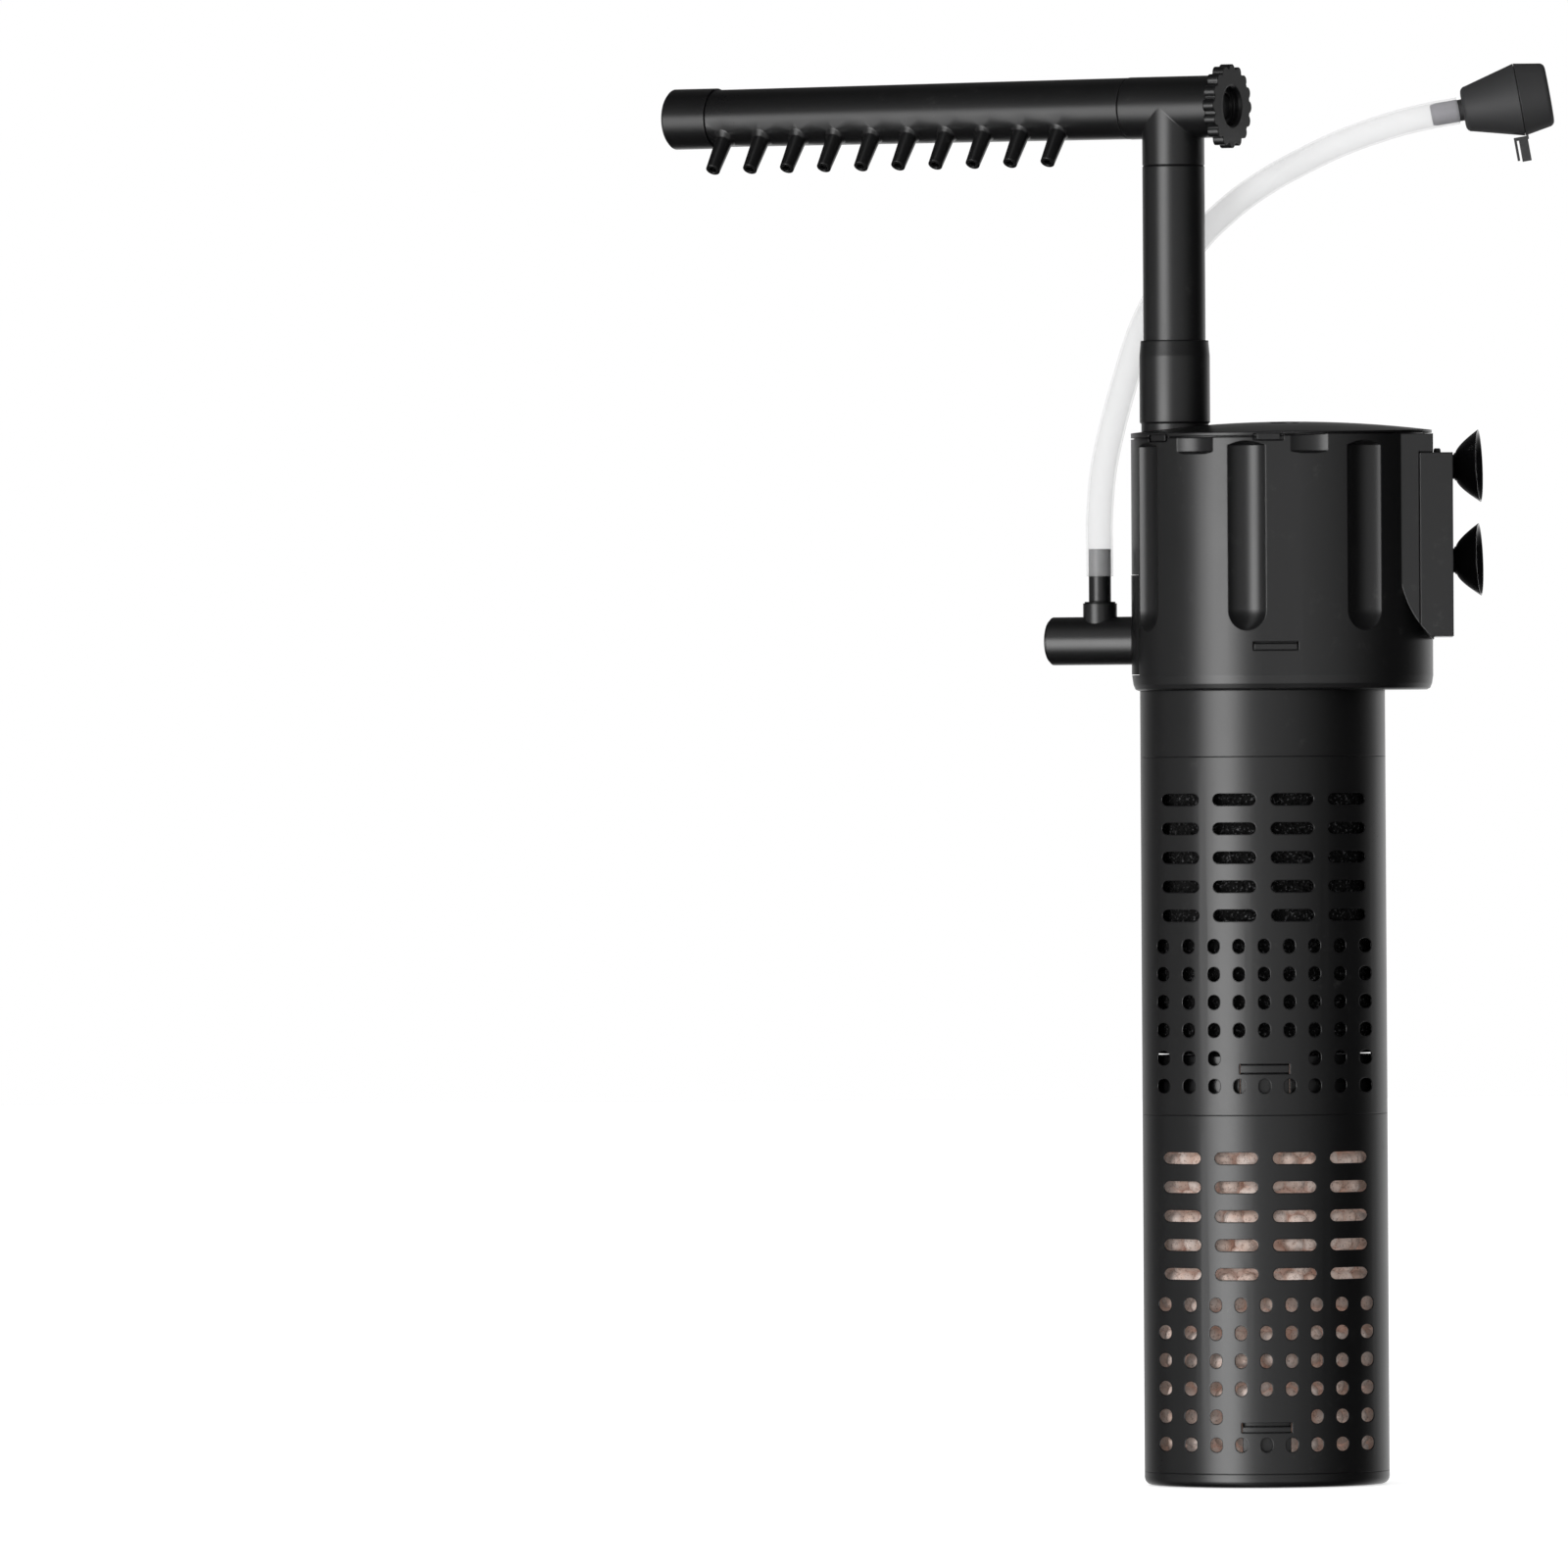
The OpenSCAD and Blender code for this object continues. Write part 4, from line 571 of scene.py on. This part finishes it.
def stemOutline(s):
    # a plain pin with a button on its inner end
    low, high, edge, end = s["buttonFrom"], s["buttonTo"], s["buttonEdge"], s["lift"] + s["stemReach"]
    return [
        (0, low), (s["button"] - edge, low), (s["button"], low + edge), (s["button"], high - edge),
        (s["button"] - edge, high), (s["stem"], high), (s["stem"], end), (0, end)]


def suctionCups(s):
    points, faces, first = [], [], 0
    lean, tilt = math.radians(s["lean"]), math.radians(s["tilt"])
    out = (math.cos(lean) * math.cos(tilt), -math.sin(lean) * math.cos(tilt), math.sin(tilt))
    shapes = ((stemOutline(s), rightward, s["stemSides"]), (cupOutline(s), out, s["bellSides"]))
    for height in s["heights"]:
        for outline, way, sides in shapes:
            ring = revolve(outline, sides, (s["face"], 0, height), way, upward)
            points.append(ring.reshape(-1, 3))
            faces.append(gridFaces(len(outline), sides) + first)
            first += ring.shape[0] * ring.shape[1]
    piece = newPiece("suctionCups", np.concatenate(points) * mm, np.concatenate(faces))
    dress(piece, "cup_rubber", "bracket", "suction_cups")
    print("suction cups made")


suctionCups(cupSet)


# air hose from the outlet's nipple, behind the riser, to the air valve, in mm

hoseSet = {
    "outer": 3.45, "inner": 2.95, "sides": 32, "steps": 8,
    # the nipple's axis, and the heights of the hose's lower end and of the nipple's tip
    "nipple": (-41.373, 8.780), "start": 231.8, "tip": 238.8,
    # how far the hose leans back on its way, and a place on it in metres
    "lean": 3.02, "followsHead": (-0.035, 0.011, 0.284),
    # the spigot in its upper end; its tip is this share of its radius
    "stubLength": 7.6, "stubRadius": 2.85, "stubTip": 0.88, "stubSides": 24,
}
# sideways and upward from the nipple's tip, and the share of the lean
hoseRoute = [
    (0, 0, 0), (0, 7.5, 0.03), (1, 19.5, 0.15), (3.4, 31, 0.4), (6.9, 43.5, 0.75), (11.4, 57, 0.95),
    (17.9, 69, 1), (26.4, 80, 1), (31.5, 85, 1.02), (36.9, 89.5, 1.05), (42.8, 93.5, 1.08),
    (48.9, 97, 1.1), (61.4, 103.1, 1.15), (74.4, 107.7, 1.2), (84.4, 110.2, 1.25), (92.4, 111.6, 1.3),
]


def smoothPath(points, steps):
    # Catmull-Rom: each span is a cubic through its ends, aimed along its neighbours
    p = np.concatenate([[2 * points[0] - points[1]], points, [2 * points[-1] - points[-2]]])
    a, b, c, d = (p[i:len(p) - 3 + i, None] for i in range(4))
    t = np.linspace(0, 1, steps, endpoint=False)[None, :, None]
    bend = (2 * a - 5 * b + 4 * c - d) * t ** 2 + (3 * b - a - 3 * c + d) * t ** 3
    curve = 0.5 * (2 * b + (c - a) * t + bend)
    return np.concatenate([curve.reshape(-1, 3), points[-1:]])


def carryRings(path, radius, sides):
    # a circle square to the path at each of its points; radius is one number or one for each point
    along = np.gradient(path, axis=0)
    along /= np.linalg.norm(along, axis=1)[:, None]
    side = np.cross(along, backward)
    side /= np.linalg.norm(side, axis=1)[:, None]
    back = np.cross(side, along)
    cosines, sines = circle(sides)
    radius = np.reshape(radius, (-1, 1, 1))
    return path[:, None] + radius * (cosines * side[:, None] + sines * back[:, None])


def hoseStub(path, s):
    # the valve's tapered spigot, pushed into the hose's end
    left = np.cumsum(np.linalg.norm(np.diff(path[::-1], axis=0), axis=1))
    spans = int(np.searchsorted(left, s["stubLength"]))
    inside = path[-spans - 1:]
    radius = np.full(len(inside), s["stubRadius"])
    radius[0] *= s["stubTip"]
    rings = carryRings(inside, radius, s["stubSides"])
    near, far = (np.broadcast_to(end, rings[:1].shape) for end in (inside[0], inside[-1]))
    points = np.concatenate([near, rings, far])
    piece = newPiece("hoseStub", points * mm, gridFaces(len(points), s["stubSides"]))
    piece.data.materials.append(finishes["stub"])
    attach(piece, "head")
    return piece


def airHose(s):
    start, tip = (np.array((*s["nipple"], s[end])) for end in ("start", "tip"))
    points = [tip + (x, share * s["lean"], z) for x, z, share in hoseRoute]
    path = smoothPath(np.array([start, *points]), s["steps"])
    outer, inner = (carryRings(path, s[wall], s["sides"]) for wall in ("outer", "inner"))
    rings = np.concatenate([outer, inner[::-1]])
    piece = newPiece("airHose", rings * mm, gridFaces(len(rings), s["sides"], closeRows=True))
    dress(piece, "hose", None, "air_tube")
    stub = hoseStub(path, s)
    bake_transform(piece)


airHose(hoseSet)


# floor, room and lamps, in metres and watts

floorSet = {
    "half": 6.0, "below": 0.0002,
    "dark": (0.80, 0.80, 0.80), "pale": (0.84, 0.84, 0.84), "cloudScale": 3.0, "glow": 0.66,
}
roomSet = {
    "diffuse": 0.60,
    # brightness seen by gloss: azimuth from the front in degrees, negative to the left
    "round": (
        (-180, 1.0), (-165, 0.6), (-150, 0.4), (-135, 0.2), (-120, 0.06), (-100, 0.35), (-75, 0.42),
        (-61, 0.5), (-57, 3.8), (-46, 6.8), (-33, 8.0), (-23, 4.0), (-14, 1.0), (0, 0.92), (25, 0.72),
        (45, 0.38), (62, 0.1), (75, 0.0), (105, 0.0), (125, 0.3), (140, 0.8), (180, 1.0)),
    # share of it left at a height angle, in degrees
    "height": (
        (-90, 0.10), (-65, 0.10), (-46, 0.04), (-30, 0.6), (-20, 1.0), (3, 1.0), (11, 0.12), (60, 0.10),
        (90, 0.10)),
    "brightest": 8.0,
}
lampSet = {
    "keyBox": {"place": (-1.75, -2.15, 0.75), "aim": (0, 0, 0.18), "size": (0.75, 1.9), "power": 40.0},
    "fillBox": {"place": (0.2, -3.2, 1.4), "aim": (0, 0, 0.18), "size": (1.4, 1.0), "power": 12.0},
}


def makeFloor(s):
    # pale and a little bright to the eye; gloss sees the room through it
    half = s["half"]
    points = np.array([(-half, -half, 0), (half, -half, 0), (half, half, 0), (-half, half, 0)])
    points[:, 2] = cadBox[0][2] - s["below"]
    floor = newPiece("floor", points, np.array([[0, 1, 2, 3]]), rounded=False)
    material = bpy.data.materials.new("paleFloor")
    g = Graph(material)
    cloud = g.noise(s["cloudScale"], 3.0)
    seen = g.node("ShaderNodeLightPath", out="Is Camera Ray")
    gloss = g.node("ShaderNodeLightPath", out="Is Glossy Ray")
    pale = g.node("ShaderNodeBsdfPrincipled", {}, {
        "Base Color": g.mix(cloud, rgb(s["dark"]), rgb(s["pale"])), "Roughness": 0.9,
        "Emission Color": rgb((1, 1, 1)), "Emission Strength": seen * s["glow"]})
    clear = g.node("ShaderNodeBsdfTransparent")
    g.finish(g.node("ShaderNodeMixShader", {}, {0: gloss, 1: pale, 2: clear}))
    floor.data.materials.append(material)


def makeRoom(s):
    # white to the eye and through clear things; panels and dark gaps round the object for its gloss
    world = bpy.data.worlds.new("studio")
    bpy.context.scene.world = world
    world.cycles.sampling_method = "NONE"
    g = Graph(world)
    seen = g.node("ShaderNodeLightPath", out="Is Camera Ray")
    gloss = g.node("ShaderNodeLightPath", out="Is Glossy Ray")
    through = g.node("ShaderNodeLightPath", out="Is Transmission Ray")
    way = g.node("ShaderNodeTexCoord", out="Generated")
    x, y, z = (g.node("ShaderNodeSeparateXYZ", {}, {0: way}, axis) for axis in "XYZ")
    turn = g.stretch(g.maths("ARCTAN2", x, y * -1.0), -math.pi, math.pi)
    rise = g.stretch(g.maths("ARCSINE", z), -math.pi / 2, math.pi / 2)
    ring = g.ramp(turn, [((angle + 180) / 360, value / s["brightest"]) for angle, value in s["round"]])
    share = g.ramp(rise, [((angle + 90) / 180, value) for angle, value in s["height"]])
    panels = ring * share * s["brightest"]
    plain = seen + through * (1 - seen)
    strength = plain + (1 - plain) * (gloss * panels + (1 - gloss) * s["diffuse"])
    back = g.node("ShaderNodeBackground", {}, {"Color": rgb((1, 1, 1)), "Strength": strength})
    g.node("ShaderNodeOutputWorld", {}, {"Surface": back})


def softbox(name, s):
    # a lamp that lights the object and doesn't show in its gloss
    data = bpy.data.lights.new(name, "AREA")
    data.shape = "RECTANGLE"
    data.size, data.size_y = s["size"]
    data.energy = s["power"]
    lamp = bpy.data.objects.new(name, data)
    lamp.location = s["place"]
    lamp.visible_glossy = False
    lamp.rotation_euler = (Vector(s["aim"]) - Vector(s["place"])).to_track_quat("-Z", "Y").to_euler()
    bpy.context.scene.collection.objects.link(lamp)


makeFloor(floorSet)
makeRoom(roomSet)
for name, settings in lampSet.items():
    softbox(name, settings)
bpy.context.scene.view_settings.view_transform = "Standard"
print("studio lit")
